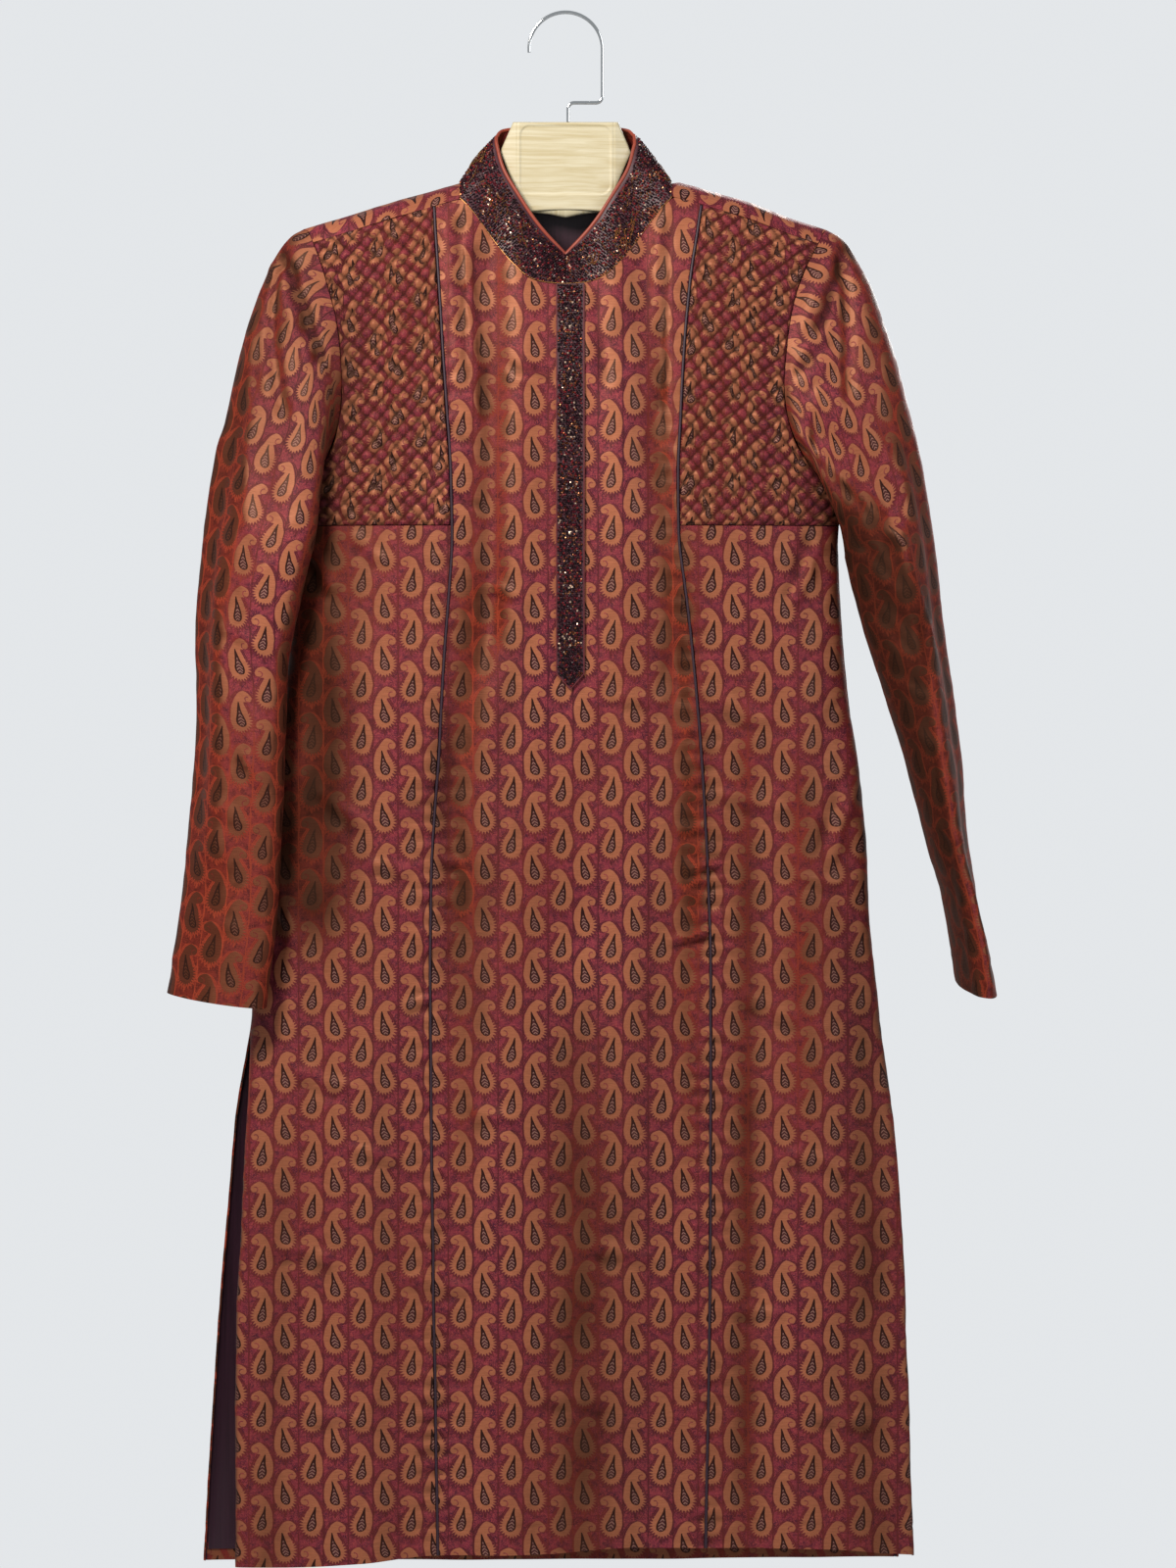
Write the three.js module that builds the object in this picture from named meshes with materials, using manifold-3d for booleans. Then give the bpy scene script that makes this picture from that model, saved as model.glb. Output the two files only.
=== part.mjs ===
// A knee-length kurta on its hanger, in millimetres, +Z up, front towards -Y, +X to the right seen from the front.
// The origin is the inside top of the hanger's hook, where the nail or rail carries it.
//
// Every cloth piece is a wall on one of two forms: the body, given as a front and a back face over (x, z), or a
// sleeve, given as rings from the armhole to the cuff. Seams are gaps between neighbouring pieces.

import * as THREE from 'three';
import { mergeVertices } from 'three/addons/utils/BufferGeometryUtils.js';
import Module from 'manifold-3d';

const wasm = await Module();
wasm.setup();

// ---------------------------------------------------------------- driving dimensions

const CLOTH = 1.6; // wall of a lined panel
const SEAM = 0.3; // gap between two pieces
const FRONT = -1;
const BACK = 1;

const SHOULDER_ROUND = 26; // height over which the cloth rounds across the shoulder ridge
const FORWARD_SEAM_DROP = 14; // shoulder seam, this far below the ridge on the front
const NECK_HALF = 86.3; // where the neckline crosses the ridge
const UNDERARM_Z = -402;
const SLIT_TOP_Z = -820;
const SIDE_ROUNDNESS = 2.5; // exponent of the body's cross-section

const PIPING_WIDTH = 2;
const PIPING_PROUD = 1.2;

const QUILT_BOTTOM_Z = -420;
const QUILT_HALF_PITCH = 6; // half the width of one diamond
const QUILT_ROWS = 39; // half-diamonds from shoulder seam to bottom seam
const QUILT_UNDERARM_ROW = 36;
const QUILT_PUFF = 2.4;
const QUILT_WALL = 1.8;

const PLACKET = { left: -7.2, right: 15.2, bottomZ: -541, tipZ: -554, wall: 1.8 };
const LINING = 1.0;
const HEM_FACING_TOP_Z = -1254;
const COLLAR_WALL = 1.8;

const HOOK = { radius: 30, strip: 2.4, depth: 10, shaftX: 2, stepZ: -73, bottomZ: -88.7 };
const PLATE = { topZ: -89, wideZ: -114, bottomZ: -163, top: 43, wide: 54, bottom: 33, depth: 12, arch: 2 };
const PLATE_FIELD = { halfWidth: 37, topZ: -92, bottomZ: -148, recess: 0.8, corner: 8 };
const ARM = { reach: 203, halfDepth: 8 };

// Shoulder ridge seen from the front.
const RIDGE = [
  { x: 0, left: -124, right: -124 },
  { x: 40, left: -129, right: -128 },
  { x: 86, left: -138.5, right: -136.5 },
  { x: 138, left: -153.5, right: -151 },
  { x: 180, left: -166, right: -166 },
  { x: 218, left: -177.5, right: -178.5 },
  { x: 240, left: -184, right: -186 },
];

// Half-widths of the body: the side seam down to the slit, and the free edges below it.
const SIDES = [
  { z: -120, frontLeft: 232, frontRight: 232, backLeft: 232, backRight: 232 },
  { z: -300, frontLeft: 229, frontRight: 229, backLeft: 229, backRight: 229 },
  { z: -402, frontLeft: 226, frontRight: 227, backLeft: 226, backRight: 227 },
  { z: -430, frontLeft: 223, frontRight: 223, backLeft: 223, backRight: 223 },
  { z: -500, frontLeft: 225, frontRight: 226, backLeft: 225, backRight: 226 },
  { z: -565, frontLeft: 232, frontRight: 232, backLeft: 232, backRight: 232 },
  { z: -640, frontLeft: 243, frontRight: 243, backLeft: 243, backRight: 243 },
  { z: -750, frontLeft: 250, frontRight: 250, backLeft: 250, backRight: 250 },
  { z: -820, frontLeft: 257, frontRight: 257, backLeft: 257, backRight: 257 },
  { z: -905, frontLeft: 261, frontRight: 268, backLeft: 271, backRight: 262 },
  { z: -1000, frontLeft: 266, frontRight: 276, backLeft: 279, backRight: 266 },
  { z: -1110, frontLeft: 270, frontRight: 280, backLeft: 288, backRight: 269 },
  { z: -1275, frontLeft: 270, frontRight: 286, backLeft: 298, backRight: 273 },
];

// Half-depths of the body: how far the front and the back stand from the middle plane.
const DEPTHS = [
  { z: -120, front: 21, back: 24 },
  { z: -165, front: 23, back: 25 },
  { z: -223, front: 33, back: 30 },
  { z: -330, front: 45, back: 37 },
  { z: -420, front: 48, back: 38 },
  { z: -560, front: 45, back: 37 },
  { z: -800, front: 38, back: 33 },
  { z: -1275, front: 35, back: 31 },
];

const NECK_FRONT = [
  { x: 0, z: -223 },
  { x: 16, z: -221.8 },
  { x: 29.6, z: -217.6 },
  { x: 41, z: -208 },
  { x: 51, z: -197 },
  { x: 63, z: -181 },
  { x: 73, z: -167 },
  { x: 81, z: -157.5 },
  { x: 86.3, z: -152.6 },
];
const NECK_BACK = [
  { x: 0, z: -131 },
  { x: 30, z: -131.8 },
  { x: 60, z: -134.8 },
  { x: 78, z: -137.6 },
  { x: 86.3, z: -138.6 },
];

// Piped seams of the front, from shoulder to hem.
const PIPING = [
  { z: -150, left: 107.8, right: 112.5 },
  { z: -178, left: 106.2, right: 108 },
  { z: -222, left: 103.5, right: 101.5 },
  { z: -274, left: 100.2, right: 97 },
  { z: -330, left: 96.6, right: 94 },
  { z: -380, left: 93.4, right: 91.8 },
  { z: -426, left: 92.4, right: 92.6 },
  { z: -470, left: 94.6, right: 97.4 },
  { z: -514, left: 98, right: 102.8 },
  { z: -554, left: 100.6, right: 106.8 },
  { z: -604, left: 103.4, right: 110.8 },
  { z: -660, left: 107.2, right: 114.2 },
  { z: -720, left: 110, right: 117 },
  { z: -800, left: 110.4, right: 118.6 },
  { z: -1031, left: 108, right: 118 },
  { z: -1275, left: 104, right: 114 },
];

// Armhole seams: the distance from the middle at a height.
const ARMHOLE = [
  { z: -170, frontLeft: 215, frontRight: 215, back: 215 },
  { z: -184, frontLeft: 208, frontRight: 209, back: 212 },
  { z: -225, frontLeft: 194, frontRight: 190, back: 204 },
  { z: -270, frontLeft: 184.5, frontRight: 181, back: 199 },
  { z: -311, frontLeft: 182.5, frontRight: 178.5, back: 198 },
  { z: -345, frontLeft: 187, frontRight: 185, back: 201 },
  { z: -372, frontLeft: 199, frontRight: 200, back: 209 },
  { z: -392, frontLeft: 215, frontRight: 218, back: 219 },
  { z: -402, frontLeft: 226, frontRight: 227, back: 226.5 },
];
// Stations down the armhole, as shares of its height; the back and the sleeve share the back's.
const ARMHOLE_FRONT_STOPS = [0.13, 0.23, 0.34, 0.46, 0.59, 0.72, 0.84, 0.92, 0.97, 1];
const ARMHOLE_BACK_STOPS = [0, 0.013, 0.055, 0.15, 0.3, 0.46, 0.63, 0.8, 0.93, 1];

const HEM_FRONT = [
  { x: -290, z: -1272 },
  { x: -180, z: -1271.5 },
  { x: -140, z: -1268 },
  { x: -102, z: -1261 },
  { x: -60, z: -1261 },
  { x: -14, z: -1260 },
  { x: 62, z: -1254.5 },
  { x: 159, z: -1256 },
  { x: 206, z: -1260 },
  { x: 290, z: -1262.5 },
];
const HEM_BACK = [
  { x: -300, z: -1268 },
  { x: -29, z: -1268.6 },
  { x: 185, z: -1266.5 },
  { x: 290, z: -1265 },
];

// Soft folds of the body, one row for each: a line from (x0, z0) to (x1, z1), how wide, how far it stands out.
const FRONT_FOLDS = [
  { x0: -62, z0: -215, x1: -62, z1: -480, width: 12, rise: -6 },
  { x0: -63, z0: -500, x1: -99, z1: -650, width: 13, rise: -5 },
  { x0: -36, z0: -240, x1: -30, z1: -640, width: 14, rise: 3.5 },
  { x0: 63, z0: -190, x1: 86, z1: -520, width: 12, rise: -6 },
  { x0: 88, z0: -550, x1: 114, z1: -720, width: 13, rise: -5 },
  { x0: 44, z0: -240, x1: 52, z1: -640, width: 14, rise: 3 },
  { x0: 8, z0: -760, x1: 16, z1: -1275, width: 26, rise: -6 },
  { x0: -40, z0: -700, x1: -46, z1: -1275, width: 20, rise: 3.5 },
  { x0: 66, z0: -740, x1: 74, z1: -1275, width: 20, rise: 3.5 },
  { x0: 144, z0: -700, x1: 150, z1: -1275, width: 18, rise: -5 },
  { x0: 192, z0: -580, x1: 204, z1: -1275, width: 20, rise: 4.5 },
  { x0: 232, z0: -760, x1: 246, z1: -1275, width: 14, rise: -5 },
  { x0: -94, z0: -720, x1: -90, z1: -1275, width: 14, rise: -4 },
  { x0: -152, z0: -560, x1: -160, z1: -1275, width: 20, rise: 4.5 },
  { x0: -198, z0: -600, x1: -214, z1: -1275, width: 18, rise: -5.5 },
];
const BACK_FOLDS = [
  { x0: -120, z0: -260, x1: -150, z1: -640, width: 22, rise: 5 },
  { x0: 126, z0: -240, x1: 148, z1: -620, width: 22, rise: 5 },
  { x0: -60, z0: -330, x1: -84, z1: -1275, width: 22, rise: -6 },
  { x0: 58, z0: -300, x1: 90, z1: -1275, width: 22, rise: -6 },
  { x0: 0, z0: -420, x1: 6, z1: -1275, width: 28, rise: 5 },
  { x0: -190, z0: -640, x1: -214, z1: -1275, width: 20, rise: -5 },
  { x0: 180, z0: -600, x1: 206, z1: -1275, width: 20, rise: -5 },
];
const FOLD_FADE = 45; // length over which a fold dies out past its ends

// Free top edge of the collar, from the centre front (0) to the centre back (1) as shares of the neck seam.
const COLLAR = [
  { at: 0, topX: 0.4, topY: -14, topZ: -197 },
  { at: 0.13, topX: 19, topY: -17, topZ: -178 },
  { at: 0.26, topX: 36, topY: -16, topZ: -154 },
  { at: 0.43, topX: 52, topY: -10, topZ: -126 },
  { at: 0.52, topX: 56, topY: -5, topZ: -112 },
  { at: 0.61, topX: 57.5, topY: 1, topZ: -102 },
  { at: 0.7, topX: 54, topY: 9, topZ: -96 },
  { at: 0.8, topX: 40, topY: 14.5, topZ: -93.5 },
  { at: 0.9, topX: 20, topY: 17.5, topZ: -92.8 },
  { at: 1, topX: 0, topY: 18, topZ: -92.8 },
];
const COLLAR_BULGE = 1.6;
const COLLAR_SLIT = 0.4; // half the gap where the collar's ends meet

// Sleeves below the armhole: the outer and the inner edge seen from the front, and how far the section stands to
// the front and the back of the line between them.
const SLEEVE_LEFT = [
  { outX: -294, outY: -4, outZ: -441, inX: -206, inY: -58, inZ: -434, front: 24, back: 26 },
  { outX: -298, outY: -4, outZ: -500, inX: -222, inY: -54, inZ: -494, front: 25, back: 29 },
  { outX: -297, outY: -6, outZ: -545, inX: -230, inY: -48, inZ: -541, front: 25, back: 28 },
  { outX: -299, outY: -8, outZ: -606, inX: -231, inY: -50, inZ: -612, front: 23, back: 26 },
  { outX: -306, outY: -10, outZ: -680, inX: -234, inY: -50, inZ: -690, front: 22, back: 24 },
  { outX: -311, outY: -14, outZ: -725, inX: -236, inY: -50, inZ: -738, front: 20, back: 24 },
  { outX: -325, outY: -18, outZ: -801, inX: -244.4, inY: -48, inZ: -814, front: 20, back: 22 },
];
const SLEEVE_RIGHT = [
  { outX: 302, outY: 0, outZ: -440, inX: 233, inY: -16, inZ: -450, front: 42, back: 34 },
  { outX: 309, outY: -4, outZ: -506, inX: 247, inY: -18, inZ: -506, front: 42, back: 36 },
  { outX: 318, outY: -8, outZ: -565, inX: 263, inY: -18, inZ: -562, front: 42, back: 36 },
  { outX: 324, outY: -10, outZ: -625, inX: 281, inY: -18, inZ: -622, front: 42, back: 36 },
  { outX: 328.5, outY: -12, outZ: -682, inX: 297, inY: -18, inZ: -684, front: 42, back: 38 },
  { outX: 337, outY: -12, outZ: -738, inX: 313.5, inY: -18, inZ: -738, front: 44, back: 40 },
  { outX: 348, outY: -12, outZ: -797, inX: 323, inY: -18, inZ: -797, front: 46, back: 42 },
];
const CUFF_FRONT_DROP = { left: 2, right: 9 }; // how much lower a cuff hangs at its front

// How the sleeve leaves the armhole seam: -1 and 1 are the underarm, by the front and by the back, 0 is the ridge.
const SLEEVE_LEAVE = [
  { at: -1, out: 34, forward: 4, down: 26 },
  { at: -0.94, out: 30, forward: 26, down: 18 },
  { at: -0.84, out: 28, forward: 34, down: 16 },
  { at: -0.6, out: 40, forward: 34, down: 18 },
  { at: -0.3, out: 84, forward: 20, down: 26 },
  { at: 0, out: 130, forward: 0, down: 32 },
  { at: 0.3, out: 100, forward: -14, down: 26 },
  { at: 0.6, out: 60, forward: -16, down: 22 },
  { at: 0.84, out: 34, forward: -16, down: 18 },
  { at: 0.94, out: 30, forward: -14, down: 22 },
  { at: 1, out: 34, forward: 4, down: 26 },
];
const SLEEVE_FALL = 0.75; // how strongly the cloth already hangs straight at the first ring below the armhole
const SLEEVE_CAP_STATIONS = [0, 0.1, 0.22, 0.36, 0.52, 0.68, 0.84, 1];
const SLEEVE_LOWER_STATIONS = 9;
// Which armhole station becomes the inner edge below, and how far round the ring the underarm comes.
const SLEEVE_TURN = { left: { innerStop: 8, underarm: 0.72 }, right: { innerStop: 10, underarm: 0.54 } };

// Sleeve folds: a line from (around0, down0) to (around1, down1), shares of the ring and of the length.
const SLEEVE_FOLDS_LEFT = [
  { around0: 0.06, down0: 0.25, around1: 0.07, down1: 0.95, width: 8, rise: 3.5 },
  { around0: 0.13, down0: 0.22, around1: 0.13, down1: 0.75, width: 8, rise: -3 },
  { around0: 0.1, down0: 0.06, around1: 0.27, down1: 0.2, width: 9, rise: -5 },
  { around0: 0.21, down0: 0.25, around1: 0.22, down1: 0.8, width: 11, rise: 3.5 },
  { around0: 0.7, down0: 0.1, around1: 0.75, down1: 0.8, width: 12, rise: -5 },
  { around0: 0.86, down0: 0.15, around1: 0.87, down1: 0.85, width: 11, rise: 4 },
];
const SLEEVE_FOLDS_RIGHT = [
  { around0: 0.1, down0: 0.04, around1: 0.23, down1: 0.16, width: 9, rise: -5 },
  { around0: 0.36, down0: 0.12, around1: 0.24, down1: 0.36, width: 12, rise: -9 },
  { around0: 0.3, down0: 0.1, around1: 0.19, down1: 0.34, width: 11, rise: 5 },
  { around0: 0.34, down0: 0.36, around1: 0.3, down1: 0.48, width: 12, rise: 6 },
  { around0: 0.36, down0: 0.5, around1: 0.28, down1: 0.54, width: 10, rise: -6 },
  { around0: 0.24, down0: 0.4, around1: 0.25, down1: 0.98, width: 8, rise: 4 },
  { around0: 0.12, down0: 0.3, around1: 0.12, down1: 0.9, width: 10, rise: -3.5 },
  { around0: 0.75, down0: 0.12, around1: 0.76, down1: 0.95, width: 11, rise: 4.5 },
  { around0: 0.88, down0: 0.2, around1: 0.87, down1: 0.8, width: 11, rise: -4 },
];

const FABRIC = { jacquard: 0x9c4a3c, quilted: 0x8a4636, lining: 0x3b2230, beaded: 0x4a1a2a, cord: 0x33204a };

// ---------------------------------------------------------------- numbers and curves

const mix = (a, b, t) => a + (b - a) * t;
const clamp = (value, low, high) => Math.min(high, Math.max(low, value));
const bell = (distance, width) => Math.exp(-((distance / width) ** 2));
const range = (count) => Array.from({ length: count + 1 }, (_, i) => i / count);

// A smooth curve through one column of a table, with no overshoot between its rows.
function along(rows, key, column, at) {
  const up = rows[rows.length - 1][key] > rows[0][key] ? 1 : -1;
  const t = clamp(at * up, rows[0][key] * up, rows[rows.length - 1][key] * up);
  let i = 0;
  while (i < rows.length - 2 && rows[i + 1][key] * up < t) i += 1;
  const slope = (j) => (rows[j + 1][column] - rows[j][column]) / ((rows[j + 1][key] - rows[j][key]) * up);
  const tangent = (j) => {
    if (j === 0) return slope(0);
    if (j === rows.length - 1) return slope(j - 1);
    const before = slope(j - 1);
    const after = slope(j);
    return before * after <= 0 ? 0 : (2 * before * after) / (before + after);
  };
  const span = (rows[i + 1][key] - rows[i][key]) * up;
  const s = (t - rows[i][key] * up) / span;
  const bend = (s * s * s - 2 * s * s + s) * tangent(i) + (s * s * s - s * s) * tangent(i + 1);
  return mix(rows[i][column], rows[i + 1][column], s * s * (3 - 2 * s)) + bend * span;
}

function hermite(from, leave, to, arrive, t) {
  const t2 = t * t;
  const t3 = t2 * t;
  return new THREE.Vector3()
    .addScaledVector(from, 2 * t3 - 3 * t2 + 1)
    .addScaledVector(leave, t3 - 2 * t2 + t)
    .addScaledVector(to, 3 * t2 - 2 * t3)
    .addScaledVector(arrive, t3 - t2);
}

// ---------------------------------------------------------------- the body's form

const ridgeZ = (x) => along(RIDGE, 'x', x < 0 ? 'left' : 'right', Math.abs(x));
const forwardSeamZ = (x) => ridgeZ(x) - FORWARD_SEAM_DROP;
const sideName = (x, face) => (face === FRONT ? 'front' : 'back') + (x < 0 ? 'Left' : 'Right');
const halfWidth = (x, z, face) => along(SIDES, 'z', sideName(x, face), z);
const pipingX = (side, z) => side * along(PIPING, 'z', side < 0 ? 'left' : 'right', z);
const armholeX = (side, z, face) =>
  along(ARMHOLE, 'z', face === BACK ? 'back' : sideName(side, FRONT), z);

function foldRise(rows, x, z) {
  let rise = 0;
  for (const row of rows) {
    const down = (z - row.z0) / (row.z1 - row.z0);
    const past = Math.max(0, -down, down - 1) * Math.abs(row.z1 - row.z0);
    const middle = mix(row.x0, row.x1, clamp(down, 0, 1));
    rise += row.rise * bell(x - middle, row.width) * bell(past, FOLD_FADE);
  }
  return rise;
}

// Below the slits the free edges no longer draw in to the middle plane.
const openEdge = (z) => 0.42 * clamp((SLIT_TOP_Z - z) / 150, 0, 1);

function bodyY(x, z, face) {
  const across = clamp(Math.abs(x) / halfWidth(x, z, face), 0, 1);
  const closed = (1 - across ** SIDE_ROUNDNESS) ** (1 / SIDE_ROUNDNESS);
  const sideways = mix(closed, 1, openEdge(z));
  const drop = clamp((ridgeZ(x) - z) / SHOULDER_ROUND, 0, 1);
  const over = Math.sqrt(1 - (1 - drop) ** 2);
  const depth = along(DEPTHS, 'z', face === FRONT ? 'front' : 'back', z);
  const folds = foldRise(face === FRONT ? FRONT_FOLDS : BACK_FOLDS, x, z);
  return face * (depth + folds) * sideways * over;
}

// A point of the body's outer face, moved out along its normal.
function bodyPoint(x, z, face, out = 0) {
  const step = 0.05;
  const slopeX = (bodyY(x + step, z, face) - bodyY(x - step, z, face)) / (2 * step);
  const slopeZ = (bodyY(x, z + step, face) - bodyY(x, z - step, face)) / (2 * step);
  const normal = new THREE.Vector3(-slopeX, 1, -slopeZ).multiplyScalar(face).normalize();
  return new THREE.Vector3(x, bodyY(x, z, face), z).addScaledVector(normal, out);
}

// Equal steps round the body's cross-section instead of equal steps of x.
const aroundFromX = (x, width) => Math.asin(clamp(x / width, 0, 1) ** (SIDE_ROUNDNESS / 2));
const xFromAround = (around, width) => width * Math.sin(around) ** (2 / SIDE_ROUNDNESS);

// ---------------------------------------------------------------- walls

function solidFrom(points, triangles) {
  const geometry = new THREE.BufferGeometry();
  const flat = new Float32Array(points.length * 3);
  points.forEach((p, i) => p.toArray(flat, i * 3));
  let volume = 0;
  for (const [a, b, c] of triangles) {
    volume += points[a].dot(new THREE.Vector3().crossVectors(points[b], points[c]));
  }
  const facing = volume > 0 ? triangles : triangles.map(([a, b, c]) => [a, c, b]);
  geometry.setAttribute('position', new THREE.BufferAttribute(flat, 3));
  geometry.setIndex(facing.flat());
  geometry.computeVertexNormals();
  return geometry;
}

// Cells of a grid as triangles, cut along their shorter diagonal. keep(row, column) leaves cells out.
function gridTriangles(grid, around, keep = () => true) {
  const columns = grid[0].length;
  const triangles = [];
  for (let r = 0; r < grid.length - 1; r += 1) {
    for (let c = 0; c < (around ? columns : columns - 1); c += 1) {
      if (!keep(r, c)) continue;
      const next = (c + 1) % columns;
      const a = r * columns + c;
      const b = r * columns + next;
      const d = (r + 1) * columns + c;
      const e = (r + 1) * columns + next;
      const first = grid[r][c].distanceTo(grid[r + 1][next]);
      const second = grid[r][next].distanceTo(grid[r + 1][c]);
      if (first < second) triangles.push([a, b, e], [a, e, d]);
      else triangles.push([a, b, d], [b, e, d]);
    }
  }
  return triangles;
}

// A closed wall from two grids with the same cells: both faces, and a rim along every free edge.
function wallFromGrids(outer, inner, around = false, keep = undefined) {
  const faces = gridTriangles(outer, around, keep);
  const offset = outer.length * outer[0].length;
  const triangles = [...faces];
  for (const [a, b, c] of faces) triangles.push([a + offset, c + offset, b + offset]);
  const edges = new Map();
  for (const face of faces) {
    face.forEach((a, i) => {
      const b = face[(i + 1) % 3];
      if (!edges.delete(`${b},${a}`)) edges.set(`${a},${b}`, [a, b]);
    });
  }
  for (const [a, b] of edges.values()) {
    triangles.push([b, a, a + offset], [b, a + offset, b + offset]);
  }
  const points = [...outer.flat(), ...inner.flat()];
  const used = [...new Set(triangles.flat())].sort((a, b) => a - b);
  const place = new Map(used.map((old, i) => [old, i]));
  return solidFrom(used.map((i) => points[i]), triangles.map((t) => t.map((i) => place.get(i))));
}

// Triangles between two chains of points with different counts, index lists given.
function zip(chainA, chainB, points) {
  const shares = (chain) => {
    const lengths = [0];
    chain.slice(1).forEach((p, i) => lengths.push(lengths[i] + points[p].distanceTo(points[chain[i]])));
    return lengths.map((l) => l / lengths[lengths.length - 1]);
  };
  const a = shares(chainA);
  const b = shares(chainB);
  const triangles = [];
  let i = 0;
  let j = 0;
  while (i < chainA.length - 1 || j < chainB.length - 1) {
    if (j === chainB.length - 1 || (i < chainA.length - 1 && a[i + 1] <= b[j + 1])) {
      triangles.push([chainA[i], chainA[i + 1], chainB[j]]);
      i += 1;
    } else {
      triangles.push([chainA[i], chainB[j + 1], chainB[j]]);
      j += 1;
    }
  }
  return triangles;
}

// Rings of points joined side to side, with flat ends.
function loft(rings) {
  const count = rings[0].length;
  const triangles = gridTriangles(rings, true);
  const last = (rings.length - 1) * count;
  for (let i = 1; i < count - 1; i += 1) {
    triangles.push([0, i + 1, i], [last, last + i, last + i + 1]);
  }
  return solidFrom(rings.flat(), triangles);
}

// ---------------------------------------------------------------- front

const PIPING_CLEAR = PIPING_WIDTH / 2 + SEAM;
// Columns of the front's middle panel, as shares from the placket out to a piped seam, the last at the neck corner.
const FRONT_COLUMNS = [0.15, 0.31, 0.47, 0.63, 0.79, 1];
const PLACKET_ROWS = 10;
const FRONT_SKIRT_ROWS = 18;

function frontCentreTopZ(x) {
  if (Math.abs(x) < NECK_HALF) return along(NECK_FRONT, 'x', 'z', Math.abs(x));
  return forwardSeamZ(x) - SEAM;
}

// (x, z) of the middle panel's grid: the columns follow the placket's edges and the piped seams.
function frontCentrePlaces() {
  const hemZ = along(HEM_FRONT, 'x', 'z', 0);
  const topZ = frontCentreTopZ(0);
  const placketShare = (PLACKET.bottomZ - topZ) / (hemZ - topZ);
  const rows = [
    ...range(PLACKET_ROWS).map((t) => t * placketShare),
    ...range(FRONT_SKIRT_ROWS).slice(1).map((t) => mix(placketShare, 1, t)),
  ];
  const middle = (PLACKET.left + PLACKET.right) / 2;
  const leftOf = (share) => (z) => mix(PLACKET.left, pipingX(-1, z) + PIPING_CLEAR, share);
  const rightOf = (share) => (z) => mix(PLACKET.right, pipingX(1, z) - PIPING_CLEAR, share);
  const columns = [
    ...[...FRONT_COLUMNS].reverse().map(leftOf),
    () => PLACKET.left,
    () => middle,
    () => PLACKET.right,
    ...FRONT_COLUMNS.map(rightOf),
  ];
  return rows.map((v) =>
    columns.map((columnX) => {
      const top = frontCentreTopZ(columnX(-160));
      const bottom = along(HEM_FRONT, 'x', 'z', columnX(-1270));
      const z = mix(top, bottom, v);
      return { x: columnX(z), z };
    }),
  );
}

function frontCentre() {
  const places = frontCentrePlaces();
  const at = (out) => places.map((row) => row.map(({ x, z }) => bodyPoint(x, z, FRONT, out)));
  return wallFromGrids(at(0), at(-CLOTH));
}

// The band lies on the middle panel: its points are that panel's points, moved out, and a point below them.
function placketBand() {
  const places = frontCentrePlaces();
  const first = FRONT_COLUMNS.length;
  const rows = places.slice(0, PLACKET_ROWS + 1).map((row) => row.slice(first, first + 3));
  const middleBelow = places[PLACKET_ROWS + 1][first + 1];
  const last = rows[PLACKET_ROWS][1];
  const share = (PLACKET.tipZ - PLACKET.bottomZ) / (middleBelow.z - last.z);
  const sheet = (out) => {
    const grid = rows.map((row) => row.map(({ x, z }) => bodyPoint(x, z, FRONT, out)));
    const above = bodyPoint(last.x, last.z, FRONT, out);
    const below = bodyPoint(middleBelow.x, middleBelow.z, FRONT, out);
    const tip = above.lerp(below, share);
    const width = grid[PLACKET_ROWS][0].distanceTo(grid[PLACKET_ROWS][2]) / 2;
    const away = (side) => tip.clone().add(new THREE.Vector3(side * width * 0.04, 0, 0));
    grid.push([away(-1), tip, away(1)]);
    return grid;
  };
  return wallFromGrids(sheet(SEAM + PLACKET.wall), sheet(SEAM));
}

// Heights of the middle panel's rows on its piped edge, which the pieces beside it share.
function seamHeights(side) {
  return frontCentrePlaces().map((row) => (side < 0 ? row[0] : row[row.length - 1]).z);
}

const frontSideColumns = range(7);

function frontSide(side) {
  const topZ = QUILT_BOTTOM_Z - 1.5 * SEAM;
  const heights = seamHeights(side).filter((z) => z < topZ - 8);
  const hemZ = heights[heights.length - 1];
  const shares = [topZ, ...heights].map((z) => (z - topZ) / (hemZ - topZ));
  const sheet = (out) =>
    shares.map((v) =>
      frontSideColumns.map((s) => {
        const bottomX = side * mix(Math.abs(pipingX(side, hemZ)), halfWidth(side, hemZ, FRONT), s);
        const z = mix(topZ, along(HEM_FRONT, 'x', 'z', bottomX), v);
        const width = halfWidth(side, z, FRONT);
        const start = aroundFromX(Math.abs(pipingX(side, z)) + PIPING_CLEAR, width);
        const x = side * xFromAround(mix(start, Math.PI / 2, s), width);
        const point = bodyPoint(x, z, FRONT, out);
        if (s === 1) point.y -= SEAM / 2;
        return point;
      }),
    );
  return wallFromGrids(sheet(0), sheet(-CLOTH));
}

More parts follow.
